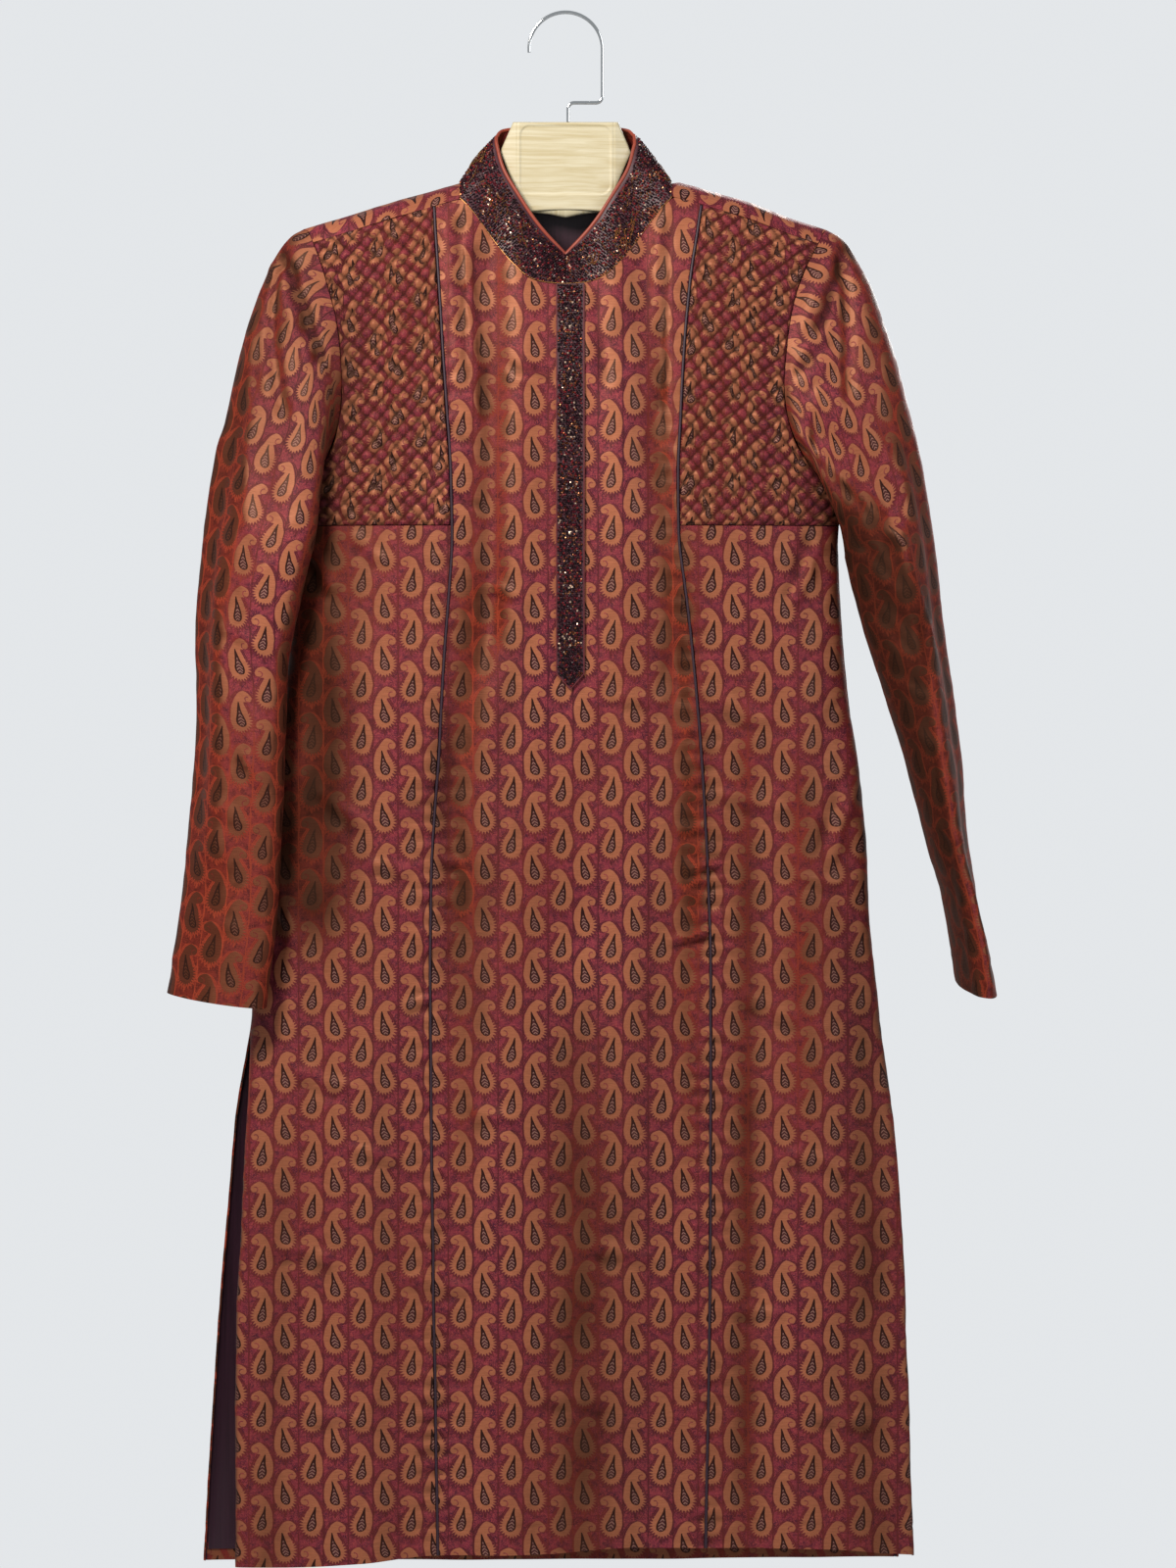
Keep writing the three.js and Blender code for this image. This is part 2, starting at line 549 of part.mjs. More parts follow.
// Diamond quilting: a lattice of half-diamonds, every second point puffed out, over a plain inside.
function quiltedChest(side) {
  const rowZ = (x, row) => mix(forwardSeamZ(x) - SEAM, QUILT_BOTTOM_Z + SEAM / 2, row / QUILT_ROWS);
  const innerEdge = (row) => {
    let x = pipingX(side, -160);
    for (let i = 0; i < 4; i += 1) x = pipingX(side, rowZ(x, row)) + side * (PIPING_CLEAR + SEAM / 2);
    return Math.abs(x);
  };
  const outerEdge = (row) => {
    let x = 205;
    for (let i = 0; i < 30; i += 1) {
      const z = rowZ(side * x, row);
      const seam = row <= QUILT_UNDERARM_ROW ? armholeX(side, z, FRONT) : halfWidth(side, z, FRONT);
      x = mix(x, seam, 0.6);
    }
    return x;
  };
  const points = [];
  const place = (x, row, out) => {
    const point = bodyPoint(side * x, rowZ(side * x, row), FRONT, out);
    if (row >= QUILT_UNDERARM_ROW && x === outerEdge(row)) point.y -= SEAM / 2;
    points.push(point);
    return points.length - 1;
  };
  const lattice = [];
  for (let row = 0; row <= QUILT_ROWS; row += 1) {
    const from = innerEdge(row);
    const to = outerEdge(row);
    const line = [{ id: place(from, row, 0), x: from, valley: false }];
    for (let i = Math.ceil(from / QUILT_HALF_PITCH); i * QUILT_HALF_PITCH < to - 1.5; i += 1) {
      const x = i * QUILT_HALF_PITCH;
      if (x < from + 1.5) continue;
      const peak = (i + row) % 2 === 0 && row > 0 && row < QUILT_ROWS;
      line.push({ id: place(x, row, peak ? QUILT_PUFF : 0), x, valley: (i + row) % 2 !== 0 });
    }
    line.push({ id: place(to, row, 0), x: to, valley: false });
    lattice.push(line);
  }
  const triangles = [];
  for (let row = 0; row < QUILT_ROWS; row += 1) {
    const a = lattice[row];
    const b = lattice[row + 1];
    let i = 0;
    let j = 0;
    while (i < a.length - 1 || j < b.length - 1) {
      const costA = i < a.length - 1 ? Math.abs(a[i + 1].x - b[j].x) : Infinity;
      const costB = j < b.length - 1 ? Math.abs(b[j + 1].x - a[i].x) : Infinity;
      const stitch = i < a.length - 1 && a[i + 1].valley && b[j].valley;
      if (costA < costB - 0.1 || (costA < costB + 0.1 && stitch)) {
        triangles.push([a[i].id, a[i + 1].id, b[j].id]);
        i += 1;
      } else {
        triangles.push([a[i].id, b[j + 1].id, b[j].id]);
        j += 1;
      }
    }
  }
  const insideRows = [0, 3, 6, 9, 12, 15, 18, 21, 24, 27, 30, 32, 34, QUILT_UNDERARM_ROW, QUILT_ROWS];
  const insideColumns = range(6);
  const inside = insideRows.map((row) => {
    const from = innerEdge(row);
    const to = outerEdge(row);
    return insideColumns.map((s) => place(mix(from, to, s), row, -QUILT_WALL));
  });
  for (let r = 0; r < inside.length - 1; r += 1) {
    for (let c = 0; c < inside[r].length - 1; c += 1) {
      const [p, q, t, u] = [inside[r][c], inside[r][c + 1], inside[r + 1][c], inside[r + 1][c + 1]];
      triangles.push([p, t, q], [q, t, u]);
    }
  }
  const ids = (line) => line.map((point) => point.id);
  const end = (rows, which) => rows.map((line) => (which ? line[line.length - 1] : line[0]));
  triangles.push(...zip(inside[0], ids(lattice[0]), points));
  triangles.push(...zip(ids(lattice[QUILT_ROWS]), inside[inside.length - 1], points));
  triangles.push(...zip(end(lattice, 0).map((point) => point.id), end(inside, 0), points));
  triangles.push(...zip(end(inside, 1), end(lattice, 1).map((point) => point.id), points));
  return solidFrom(points, triangles);
}

// Covered cord in the seam: a small section run down the piped line.
function piping(side) {
  const half = PIPING_WIDTH / 2;
  const section = [
    { across: -half, out: -0.8 },
    { across: -half, out: 0.3 },
    { across: 0, out: PIPING_PROUD },
    { across: half, out: 0.3 },
    { across: half, out: -0.8 },
  ];
  const [topZ, ...heights] = seamHeights(side);
  const rings = [topZ - 4 * SEAM, ...heights].map((z) =>
    section.map(({ across, out }) => bodyPoint(pipingX(side, z) + across, z, FRONT, out)),
  );
  return loft(rings);
}

// ---------------------------------------------------------------- back

const BACK_INNER_CELLS = 4; // cells from the middle to the neck corner, on each side
const BACK_OUTER_CELLS = 5;
const BACK_SKIRT_ROWS_Z = [
  -440, -490, -545, -605, -675, -750, -820, -865, -910, -970, -1040, -1110, -1185, HEM_FACING_TOP_Z,
];

// Rows of the back: the flap over the shoulder, the armhole's height, the skirt and the hem.
const BACK_ROWS = [
  { kind: 'flap', drop: FORWARD_SEAM_DROP - SEAM / 2 },
  { kind: 'flap', drop: 4.5 },
  ...ARMHOLE_BACK_STOPS.map((share) => ({ kind: 'shoulder', share })),
  ...BACK_SKIRT_ROWS_Z.map((z) => ({ kind: 'skirt', z })),
  { kind: 'hem' },
];

function backRowZ(row, x) {
  if (row.kind === 'flap') return ridgeZ(x) - row.drop;
  if (row.kind === 'skirt') return row.z;
  if (row.kind === 'hem') return along(HEM_BACK, 'x', 'z', x);
  const top = Math.abs(x) < NECK_HALF ? along(NECK_BACK, 'x', 'z', Math.abs(x)) : ridgeZ(x);
  return mix(top, UNDERARM_Z, row.share);
}

function backRowEnd(row, side) {
  const face = row.kind === 'flap' ? FRONT : BACK;
  let x = 212;
  for (let i = 0; i < 30; i += 1) {
    const z = backRowZ(row, side * x);
    x = mix(x, z > UNDERARM_Z ? armholeX(side, z, face) : halfWidth(side, z, BACK), 0.6);
  }
  return x;
}

function backPlaces() {
  return BACK_ROWS.map((row) => {
    const half = (side) => {
      const end = backRowEnd(row, side);
      const width = halfWidth(side, backRowZ(row, side * end), BACK);
      const neck = aroundFromX(NECK_HALF, width);
      const edge = aroundFromX(end, width);
      const angles = [
        ...range(BACK_INNER_CELLS).slice(1).map((t) => neck * t),
        ...range(BACK_OUTER_CELLS).slice(1).map((t) => mix(neck, edge, t)),
      ];
      return angles.map((angle) => {
        const x = side * xFromAround(angle, width);
        return { x, z: backRowZ(row, x), face: row.kind === 'flap' ? FRONT : BACK };
      });
    };
    const middle = { x: 0, z: backRowZ(row, 0), face: BACK };
    return [...half(-1).reverse(), middle, ...half(1)];
  });
}

function backSheet(places, out) {
  return places.map((row) =>
    row.map(({ x, z, face }, column) => {
      const point = bodyPoint(x, z, face, out);
      const free = column === 0 || column === row.length - 1;
      if (free && z <= UNDERARM_Z) point.y += SEAM / 2;
      return point;
    }),
  );
}

const FLAP_ROWS = 2;
const isNeckColumn = (column) =>
  column >= BACK_OUTER_CELLS && column < BACK_OUTER_CELLS + 2 * BACK_INNER_CELLS;

function back() {
  const places = backPlaces();
  const keep = (row, column) => row >= FLAP_ROWS || !isNeckColumn(column);
  return wallFromGrids(backSheet(places, 0), backSheet(places, -CLOTH), false, keep);
}

// The lining hangs inside the back, made from its points.
function backLining() {
  const places = backPlaces();
  const hemTop = places.length - 2;
  const sheet = (out) => {
    const grid = backSheet(places.slice(FLAP_ROWS + 2, hemTop), out);
    const last = backSheet([places[hemTop]], out)[0];
    grid.push(last.map((point, c) => point.lerp(grid[grid.length - 1][c], SEAM / 30)));
    const inset = SEAM * 10;
    for (const line of grid) {
      const end = line.length - 1;
      line[0].lerp(line[1], inset / line[0].distanceTo(line[1]));
      line[end].lerp(line[end - 1], inset / line[end].distanceTo(line[end - 1]));
    }
    return grid;
  };
  const outside = -CLOTH - 2 * SEAM;
  return wallFromGrids(sheet(outside), sheet(outside - LINING));
}

// The hem's turned-up strip of outer cloth, inside the back.
function backHemFacing() {
  const places = backPlaces().slice(-2);
  const sheet = (out) => {
    const [top, bottom] = backSheet(places, out);
    return [top.map((point, c) => point.lerp(bottom[c], SEAM / 14)), bottom];
  };
  const outside = -CLOTH - SEAM;
  return wallFromGrids(sheet(outside), sheet(outside - LINING));
}

// ---------------------------------------------------------------- collar

// The neck edge of the panels from the centre front to the centre back: each place with its outer and inner point.
function neckEdge(side) {
  const edge = ({ x, z, face }) => ({
    outer: bodyPoint(x, z, face),
    inner: bodyPoint(x, z, face, -COLLAR_WALL),
  });
  const neckline = frontCentrePlaces()[0].map(({ x, z }) => ({ x, z, face: FRONT }));
  const front = neckline.filter(({ x }) => x * side > COLLAR_SLIT && x * side < NECK_HALF - 1);
  const [before, after] = neckline.slice(FRONT_COLUMNS.length, FRONT_COLUMNS.length + 2).map(edge);
  const share = (side * COLLAR_SLIT - before.outer.x) / (after.outer.x - before.outer.x);
  const slit = { outer: before.outer.lerp(after.outer, share), inner: before.inner.lerp(after.inner, share) };
  const places = backPlaces();
  const corner = side < 0 ? BACK_OUTER_CELLS : BACK_OUTER_CELLS + 2 * BACK_INNER_CELLS;
  const over = places.slice(0, FLAP_ROWS).map((row) => row[corner]);
  const behind = places[FLAP_ROWS].slice(
    side < 0 ? corner : BACK_OUTER_CELLS + BACK_INNER_CELLS,
    side < 0 ? BACK_OUTER_CELLS + BACK_INNER_CELLS + 1 : corner + 1,
  );
  const rest = [...(side < 0 ? front.reverse() : front), ...over, ...(side < 0 ? behind : behind.reverse())];
  return [slit, ...rest.map(edge)];
}

function collar() {
  const rows = [0, 0.34, 0.68, 1];
  const half = (side) => {
    const edge = neckEdge(side);
    const lengths = [0];
    edge.slice(1).forEach(({ outer }, i) => lengths.push(lengths[i] + outer.distanceTo(edge[i].outer)));
    return edge.map(({ outer, inner }, i) => {
      const at = lengths[i] / lengths[lengths.length - 1];
      const top = new THREE.Vector3(
        side * along(COLLAR, 'at', 'topX', at),
        along(COLLAR, 'at', 'topY', at),
        along(COLLAR, 'at', 'topZ', at),
      );
      const rise = top.clone().sub(outer).normalize();
      const outward = new THREE.Vector3(outer.x, outer.y, 0).normalize();
      const wallway = outward.clone().addScaledVector(rise, -outward.dot(rise)).normalize();
      const seam = outer.clone().addScaledVector(rise, 1.5 * SEAM);
      const under = inner.clone().addScaledVector(rise, 1.5 * SEAM);
      return rows.map((t, row) => {
        const bulge = COLLAR_BULGE * Math.sin(Math.PI * t);
        const point = seam.clone().lerp(top, t).addScaledVector(wallway, bulge);
        return { point, inside: row ? point.clone().addScaledVector(wallway, -COLLAR_WALL) : under };
      });
    });
  };
  const stations = [...half(1), ...half(-1).slice(0, -1).reverse()];
  const grid = (key) => rows.map((_, row) => stations.map((station) => station[row][key]));
  return wallFromGrids(grid('point'), grid('inside'));
}

// ---------------------------------------------------------------- sleeves

// The sleeve's edge on the armhole, clear of the panels: from the ridge down the front and up the back.
function armholeLoop(side) {
  const clear = (x, z, face) => {
    const step = 0.5;
    const lean = (armholeX(side, z - step, face) - armholeX(side, z + step, face)) / (2 * step);
    const away = new THREE.Vector2(1, lean).normalize().multiplyScalar(SEAM * 1.6);
    const cleared = side * (Math.abs(x) + away.x);
    return bodyPoint(cleared, Math.min(z + away.y, ridgeZ(cleared)), face);
  };
  const ends = backPlaces().map((row) => row[side < 0 ? 0 : row.length - 1]);
  const backStops = ends.slice(FLAP_ROWS, FLAP_ROWS + ARMHOLE_BACK_STOPS.length);
  const topZ = backStops[0].z;
  const share = (z) => (topZ - z) / (topZ - UNDERARM_Z);
  const over = [backStops[0], ends[1], ends[0]].map(({ x, z, face }) => ({
    point: clear(x, z, face),
    at: -share(z),
  }));
  const front = ARMHOLE_FRONT_STOPS.map((stop) => {
    const z = mix(topZ, UNDERARM_Z, stop);
    return { point: clear(armholeX(side, z, FRONT), z, FRONT), at: -stop };
  });
  const behind = backStops.slice(1, -1).map(({ x, z, face }) => ({ point: clear(x, z, face), at: share(z) }));
  return [...over, ...front, ...behind.reverse()];
}

// Share of the hanging ring for each armhole station: 0 is the outer edge, a half is the inner edge.
function ringShares(side, count) {
  const { innerStop, underarm } = side < 0 ? SLEEVE_TURN.left : SLEEVE_TURN.right;
  const underarmStop = ARMHOLE_FRONT_STOPS.length + FLAP_ROWS;
  return Array.from({ length: count }, (_, k) => {
    if (k <= innerStop) return (0.5 * k) / innerStop;
    if (k <= underarmStop) return mix(0.5, underarm, (k - innerStop) / (underarmStop - innerStop));
    return mix(underarm, 1, (k - underarmStop) / (count - underarmStop));
  });
}

function hangingRing(rows, down, shares, frontDrop) {
  const at = down * (rows.length - 1);
  const table = rows.map((row, i) => ({ ...row, at: i }));
  const value = (column) => along(table, 'at', column, at);
  const outerEdge = new THREE.Vector3(value('outX'), value('outY'), value('outZ'));
  const innerEdge = new THREE.Vector3(value('inX'), value('inY'), value('inZ'));
  const centre = outerEdge.clone().add(innerEdge).multiplyScalar(0.5);
  const reach = outerEdge.clone().sub(innerEdge).multiplyScalar(0.5);
  const ahead = new THREE.Vector3(-reach.y, reach.x, 0).normalize();
  if (ahead.y > 0) ahead.negate();
  return shares.map((share) => {
    const angle = share * 2 * Math.PI;
    const forward = Math.sin(angle);
    const depth = forward > 0 ? value('front') : value('back');
    const point = centre.clone().addScaledVector(reach, Math.cos(angle)).addScaledVector(ahead, depth * forward);
    point.z -= frontDrop * down * forward;
    return point;
  });
}

function sleeve(side) {
  const rows = side < 0 ? SLEEVE_LEFT : SLEEVE_RIGHT;
  const folds = side < 0 ? SLEEVE_FOLDS_LEFT : SLEEVE_FOLDS_RIGHT;
  const frontDrop = side < 0 ? CUFF_FRONT_DROP.left : CUFF_FRONT_DROP.right;
  const loop = armholeLoop(side);
  const shares = ringShares(side, loop.length);
  const first = hangingRing(rows, 0, shares, frontDrop);
  const second = hangingRing(rows, 0.05, shares, frontDrop);
  const cap = SLEEVE_CAP_STATIONS.map((t) =>
    loop.map(({ point, at }, k) => {
      const leave = new THREE.Vector3(
        side * along(SLEEVE_LEAVE, 'at', 'out', at),
        -along(SLEEVE_LEAVE, 'at', 'forward', at),
        -along(SLEEVE_LEAVE, 'at', 'down', at),
      );
      const fall = second[k].clone().sub(first[k]).setLength(SLEEVE_FALL * point.distanceTo(first[k]));
      return hermite(point, leave, first[k], fall, t);
    }),
  );
  const lower = range(SLEEVE_LOWER_STATIONS).slice(1).map((t) => hangingRing(rows, t, shares, frontDrop));
  const rings = [...cap, ...lower];
  const length = rings.map((ring, i) => (i ? ring[0].distanceTo(rings[i - 1][0]) : 0));
  const total = length.reduce((sum, step) => sum + step, 0);
  let run = 0;
  const downs = length.map((step) => {
    run += step;
    return run / total;
  });
  const girth = (ring) => ring.reduce((sum, p, k) => sum + p.distanceTo(ring[(k + 1) % ring.length]), 0);
  const normals = ringNormals(rings);
  const outer = rings.map((ring, r) =>
    ring.map((p, k) => {
      const fade = clamp(downs[r] / 0.06, 0, 1);
      const rise = sleeveRise(folds, shares[k], downs[r], girth(ring), total) * fade;
      return p.clone().addScaledVector(normals[r][k], rise);
    }),
  );
  const outerNormals = ringNormals(outer);
  const inner = outer.map((ring, r) =>
    ring.map((p, k) => p.clone().addScaledVector(outerNormals[r][k], -CLOTH)),
  );
  return wallFromGrids(outer, inner, true);
}

function sleeveRise(folds, share, down, girth, total) {
  let rise = 0;
  for (const fold of folds) {
    const run = [(fold.around1 - fold.around0) * girth, (fold.down1 - fold.down0) * total];
    const here = [(share - fold.around0) * girth, (down - fold.down0) * total];
    const t = clamp((here[0] * run[0] + here[1] * run[1]) / (run[0] ** 2 + run[1] ** 2), 0, 1);
    rise += fold.rise * bell(Math.hypot(here[0] - run[0] * t, here[1] - run[1] * t), fold.width);
  }
  return rise;
}

// Outward normals of a tube given as rings, from the points beside each point.
function ringNormals(rings) {
  const count = rings[0].length;
  const normals = rings.map((ring, r) =>
    ring.map((_, k) => {
      const aroundWay = ring[(k + 1) % count].clone().sub(ring[(k + count - 1) % count]);
      const above = rings[Math.max(0, r - 1)][k];
      const below = rings[Math.min(rings.length - 1, r + 1)][k];
      return aroundWay.cross(below.clone().sub(above)).normalize();
    }),
  );
  const last = rings[rings.length - 1];
  const centre = last.reduce((sum, p) => sum.add(p), new THREE.Vector3()).divideScalar(count);
  const inward = last.reduce((sum, p, k) => sum + normals[rings.length - 1][k].dot(p.clone().sub(centre)), 0) < 0;
  if (inward) normals.flat().forEach((normal) => normal.negate());
  return normals;
}

// ---------------------------------------------------------------- hanger

function toManifold(geometry) {
  const bare = geometry.clone();
  bare.deleteAttribute('normal');
  if (bare.getAttribute('uv')) bare.deleteAttribute('uv');
  const merged = mergeVertices(bare);
  return new wasm.Manifold(
    new wasm.Mesh({
      numProp: 3,
      vertProperties: new Float32Array(merged.getAttribute('position').array),
      triVerts: new Uint32Array(merged.getIndex().array),
    }),
  );
}

function fromManifold(solid) {
  const mesh = solid.getMesh();
  const geometry = new THREE.BufferGeometry();
  geometry.setAttribute('position', new THREE.BufferAttribute(new Float32Array(mesh.vertProperties), 3));
  geometry.setIndex(Array.from(mesh.triVerts));
  geometry.computeVertexNormals();
  return geometry;
}

// A flat outline in (x, z), given depth along y about the middle plane.
function upright(shape, depth, bevel) {
  const geometry = new THREE.ExtrudeGeometry(shape, {
    depth: depth - 2 * bevel,
    bevelEnabled: bevel > 0,
    bevelThickness: bevel,
    bevelSize: bevel,
    bevelOffset: -bevel,
    bevelSegments: 1,
    curveSegments: 6,
  });
  geometry.rotateX(Math.PI / 2);
  geometry.translate(0, depth / 2 - bevel, 0);
  return geometry;
}

function plate() {
  const outline = new THREE.Shape();
  outline.moveTo(-PLATE.top, PLATE.topZ);
  outline.lineTo(-PLATE.wide, PLATE.wideZ);
  outline.lineTo(-PLATE.bottom, PLATE.bottomZ);
  outline.quadraticCurveTo(0, PLATE.bottomZ + 2 * PLATE.arch, PLATE.bottom, PLATE.bottomZ);
  outline.lineTo(PLATE.wide, PLATE.wideZ);
  outline.lineTo(PLATE.top, PLATE.topZ);
  outline.closePath();
  return upright(outline, PLATE.depth, 1.2);
}

function plateField() {
  const { halfWidth: half, topZ, bottomZ, corner, recess } = PLATE_FIELD;
  const outline = new THREE.Shape();
  outline.moveTo(-half, topZ);
  outline.lineTo(-half, bottomZ + corner);
  outline.quadraticCurveTo(-half, bottomZ, -half + corner, bottomZ);
  outline.lineTo(half - corner, bottomZ);
  outline.quadraticCurveTo(half, bottomZ, half, bottomZ + corner);
  outline.lineTo(half, topZ);
  outline.closePath();
  const geometry = upright(outline, 2 * recess, 0);
  geometry.translate(0, -PLATE.depth / 2, 0);
  return geometry;
}

// The arms run behind the plate and carry the shoulders: their top is the cloth's inside, a seam's gap away.
function arms() {
  const inside = -CLOTH - 2.5 * SEAM;
  const stops = [0, 24, 48, 66, 80, 92, 110, 130, 150, 170, 188, ARM.reach];
  const sections = [...stops.slice(1).reverse().map((x) => -x), ...stops].map((x) => {
    const reach = Math.abs(x);
    const bottom = mix(-168, ridgeZ(x) - 24, clamp(reach / ARM.reach, 0, 1) ** 0.7);
    const shoulder = clamp((reach - 60) / 42, 0, 1);
    const crest = bodyPoint(x, ridgeZ(x), BACK, inside);
    const flat = mix(-150, crest.z, shoulder);
    const halfDepth = ARM.halfDepth * mix(0.55, 1, shoulder);
    const edgeDrop = (side) => {
      const drop = 3.2;
      const point = bodyPoint(x, ridgeZ(x) - drop, side, inside);
      return { y: clamp(Math.abs(point.y), 2, halfDepth), z: mix(flat, point.z - 0.6, shoulder) };
    };
    const frontEdge = edgeDrop(FRONT);
    const backEdge = edgeDrop(BACK);
    return [
      new THREE.Vector3(x, -frontEdge.y, frontEdge.z - 1),
      new THREE.Vector3(x, 0, flat),
      new THREE.Vector3(x, backEdge.y, backEdge.z - 1),
      new THREE.Vector3(x, backEdge.y, bottom + 3),
      new THREE.Vector3(x, 0, bottom),
      new THREE.Vector3(x, -frontEdge.y, bottom + 3),
    ];
  });
  return loft(sections);
}

function hangerBody() {
  const body = toManifold(plate()).add(toManifold(arms())).subtract(toManifold(plateField()));
  return fromManifold(body);
}

// The hook: one flat strip bent round the rail, down, back to the middle and down into the plate.
function hangerHook() {
  const { radius, strip, depth, shaftX, stepZ, bottomZ } = HOOK;
  const centreZ = -(radius - strip / 2);
  const path = new THREE.CurvePath();
  const flat = (x, z) => new THREE.Vector2(x, z);
  const arc = (x, z, r, from, to, clockwise) => new THREE.EllipseCurve(x, z, r, r, from, to, clockwise);
  const bend = 5;
  path.add(arc(0, centreZ, radius, Math.PI * 1.03, 0, true));
  path.add(new THREE.LineCurve(flat(radius, centreZ), flat(radius, stepZ + bend)));
  path.add(arc(radius - bend, stepZ + bend, bend, 0, -Math.PI / 2, true));
  path.add(new THREE.LineCurve(flat(radius - bend, stepZ), flat(shaftX + bend, stepZ)));
  path.add(arc(shaftX + bend, stepZ - bend, bend, Math.PI / 2, Math.PI, false));
  path.add(new THREE.LineCurve(flat(shaftX, stepZ - bend), flat(shaftX, bottomZ)));
  const stations = path.curves.flatMap((curve, i) => {
    const steps = curve.isLineCurve ? 1 : i === 0 ? 18 : 4;
    return range(steps).slice(i ? 1 : 0).map((t) => ({ point: curve.getPoint(t), way: curve.getTangent(t) }));
  });
  const rings = stations.map(({ point, way }) => {
    const corner = (across, y) =>
      new THREE.Vector3(point.x - way.y * across, y, point.y + way.x * across);
    const [a, b] = [strip / 2, depth / 2];
    return [corner(a, -b), corner(a, b), corner(-a, b), corner(-a, -b)];
  });
  return loft(rings);
}

// ---------------------------------------------------------------- the whole garment

const cloth = (color) => new THREE.MeshStandardMaterial({ color, roughness: 0.6, metalness: 0 });
const kurta = new THREE.Group();

function add(name, geometry, material) {
  const mesh = new THREE.Mesh(geometry, material);
  mesh.name = name;
  kurta.add(mesh);
}

add('front_centre', frontCentre(), cloth(FABRIC.jacquard));
add('placket_band', placketBand(), cloth(FABRIC.beaded));
for (const [word, side] of [['left', -1], ['right', 1]]) {
  add(`front_side_${word}`, frontSide(side), cloth(FABRIC.jacquard));
  add(`quilted_chest_${word}`, quiltedChest(side), cloth(FABRIC.quilted));
  add(`piping_${word}`, piping(side), cloth(FABRIC.cord));
  add(`sleeve_${word}`, sleeve(side), cloth(FABRIC.jacquard));
}
add('back', back(), cloth(FABRIC.jacquard));
add('back_lining', backLining(), cloth(FABRIC.lining));
add('back_hem_facing', backHemFacing(), cloth(FABRIC.jacquard));
add('collar', collar(), cloth(FABRIC.beaded));
add('hanger_body', hangerBody(), new THREE.MeshStandardMaterial({ color: 0xdcd3ae, roughness: 0.5 }));
add('hanger_hook', hangerHook(), new THREE.MeshStandardMaterial({ color: 0xd8dadc, roughness: 0.15, metalness: 1 }));

export default kurta;
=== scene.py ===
# %% [markdown]
# # A kurta on its hanger
# A kurta is a long South Asian shirt. This one is sewn from shot-silk jacquard with a woven boteh (paisley)
# pattern. Its chest panels are quilted, its collar and placket are beaded, and it hangs on a flat plate
# hanger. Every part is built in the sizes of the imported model, in millimetres, and turned to metres at the
# very end.

import math

import bmesh
import bpy
import numpy as np
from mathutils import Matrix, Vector


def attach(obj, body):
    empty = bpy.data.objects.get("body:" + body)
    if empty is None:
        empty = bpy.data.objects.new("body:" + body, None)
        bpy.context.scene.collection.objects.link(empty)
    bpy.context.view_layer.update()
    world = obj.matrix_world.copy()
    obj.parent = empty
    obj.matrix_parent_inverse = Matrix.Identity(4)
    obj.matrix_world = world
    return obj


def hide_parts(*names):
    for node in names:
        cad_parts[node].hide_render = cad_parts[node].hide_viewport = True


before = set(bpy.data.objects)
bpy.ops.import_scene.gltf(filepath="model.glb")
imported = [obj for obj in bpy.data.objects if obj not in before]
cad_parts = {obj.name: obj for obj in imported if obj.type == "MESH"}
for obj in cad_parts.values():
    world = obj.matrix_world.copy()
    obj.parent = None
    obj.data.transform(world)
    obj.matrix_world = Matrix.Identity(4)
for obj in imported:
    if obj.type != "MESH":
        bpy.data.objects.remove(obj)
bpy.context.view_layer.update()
MM = 0.001
print("packed nodes:", len(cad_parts))

# %% [markdown]
# The camera comes first, because everything else is judged through it. A garment is pictured from far
# enough away that its two sleeves keep their true sizes, so the camera stands 9 m back with a long lens,
# level with the middle of the cloth. The lens follows from the height that has to fit in the picture.

# %% Camera
VIEW_CENTRE = (18.4, -631.2)  # x and z of the middle of the picture
VIEW_HEIGHT = 1280.0
CAMERA_DISTANCE = 9000.0
SENSOR = 36.0

camera_data = bpy.data.cameras.new("camera")
camera_data.sensor_width = SENSOR
camera_data.lens = SENSOR * CAMERA_DISTANCE / VIEW_HEIGHT
camera = bpy.data.objects.new("camera", camera_data)
camera.location = Vector((VIEW_CENTRE[0], -CAMERA_DISTANCE - 35, VIEW_CENTRE[1])) * MM
camera.rotation_euler = (math.pi / 2, 0, 0)
bpy.context.collection.objects.link(camera)
bpy.context.scene.camera = camera
print("lens", round(camera_data.lens, 1), "mm")

# %% [markdown]
# ## Numbers and curves
# The garment's lines, such as the shoulder slope or the armhole, are short tables: a few heights and a size
# for each. A curve through a table must not swing past its points, or the cloth would bulge between them,
# so each tangent is the harmonic mean of the slopes beside it, and zero where the line turns.

# %% Curves through tables
def columns(names, *rows):
    """A table with named columns, sorted by its first one."""
    rows = sorted(rows)
    return {name: np.array([row[i] for row in rows], float) for i, name in enumerate(names.split())}


def along(table, key, column, at):
    """The value of a column where the key column has the value at."""
    xs, ys = table[key], table[column]
    at = np.clip(np.asarray(at, float), xs[0], xs[-1])
    slopes = np.diff(ys) / np.diff(xs)
    before, after = slopes[:-1], slopes[1:]
    same = before * after > 0
    inner = np.where(same, 2 * before * after / np.where(same, before + after, 1), 0)
    tangents = np.concatenate([slopes[:1], inner, slopes[-1:]])
    i = np.clip(np.searchsorted(xs, at, side="right") - 1, 0, len(xs) - 2)
    span = xs[i + 1] - xs[i]
    s = (at - xs[i]) / span
    bend = (s**3 - 2 * s**2 + s) * tangents[i] + (s**3 - s**2) * tangents[i + 1]
    return ys[i] + (ys[i + 1] - ys[i]) * s * s * (3 - 2 * s) + bend * span


def mix(a, b, t):
    return a + (b - a) * t


def bell(distance, width):
    return np.exp(-((distance / width) ** 2))


def smooth(low, high, value):
    t = np.clip((value - low) / (high - low), 0, 1)
    return t * t * (3 - 2 * t)


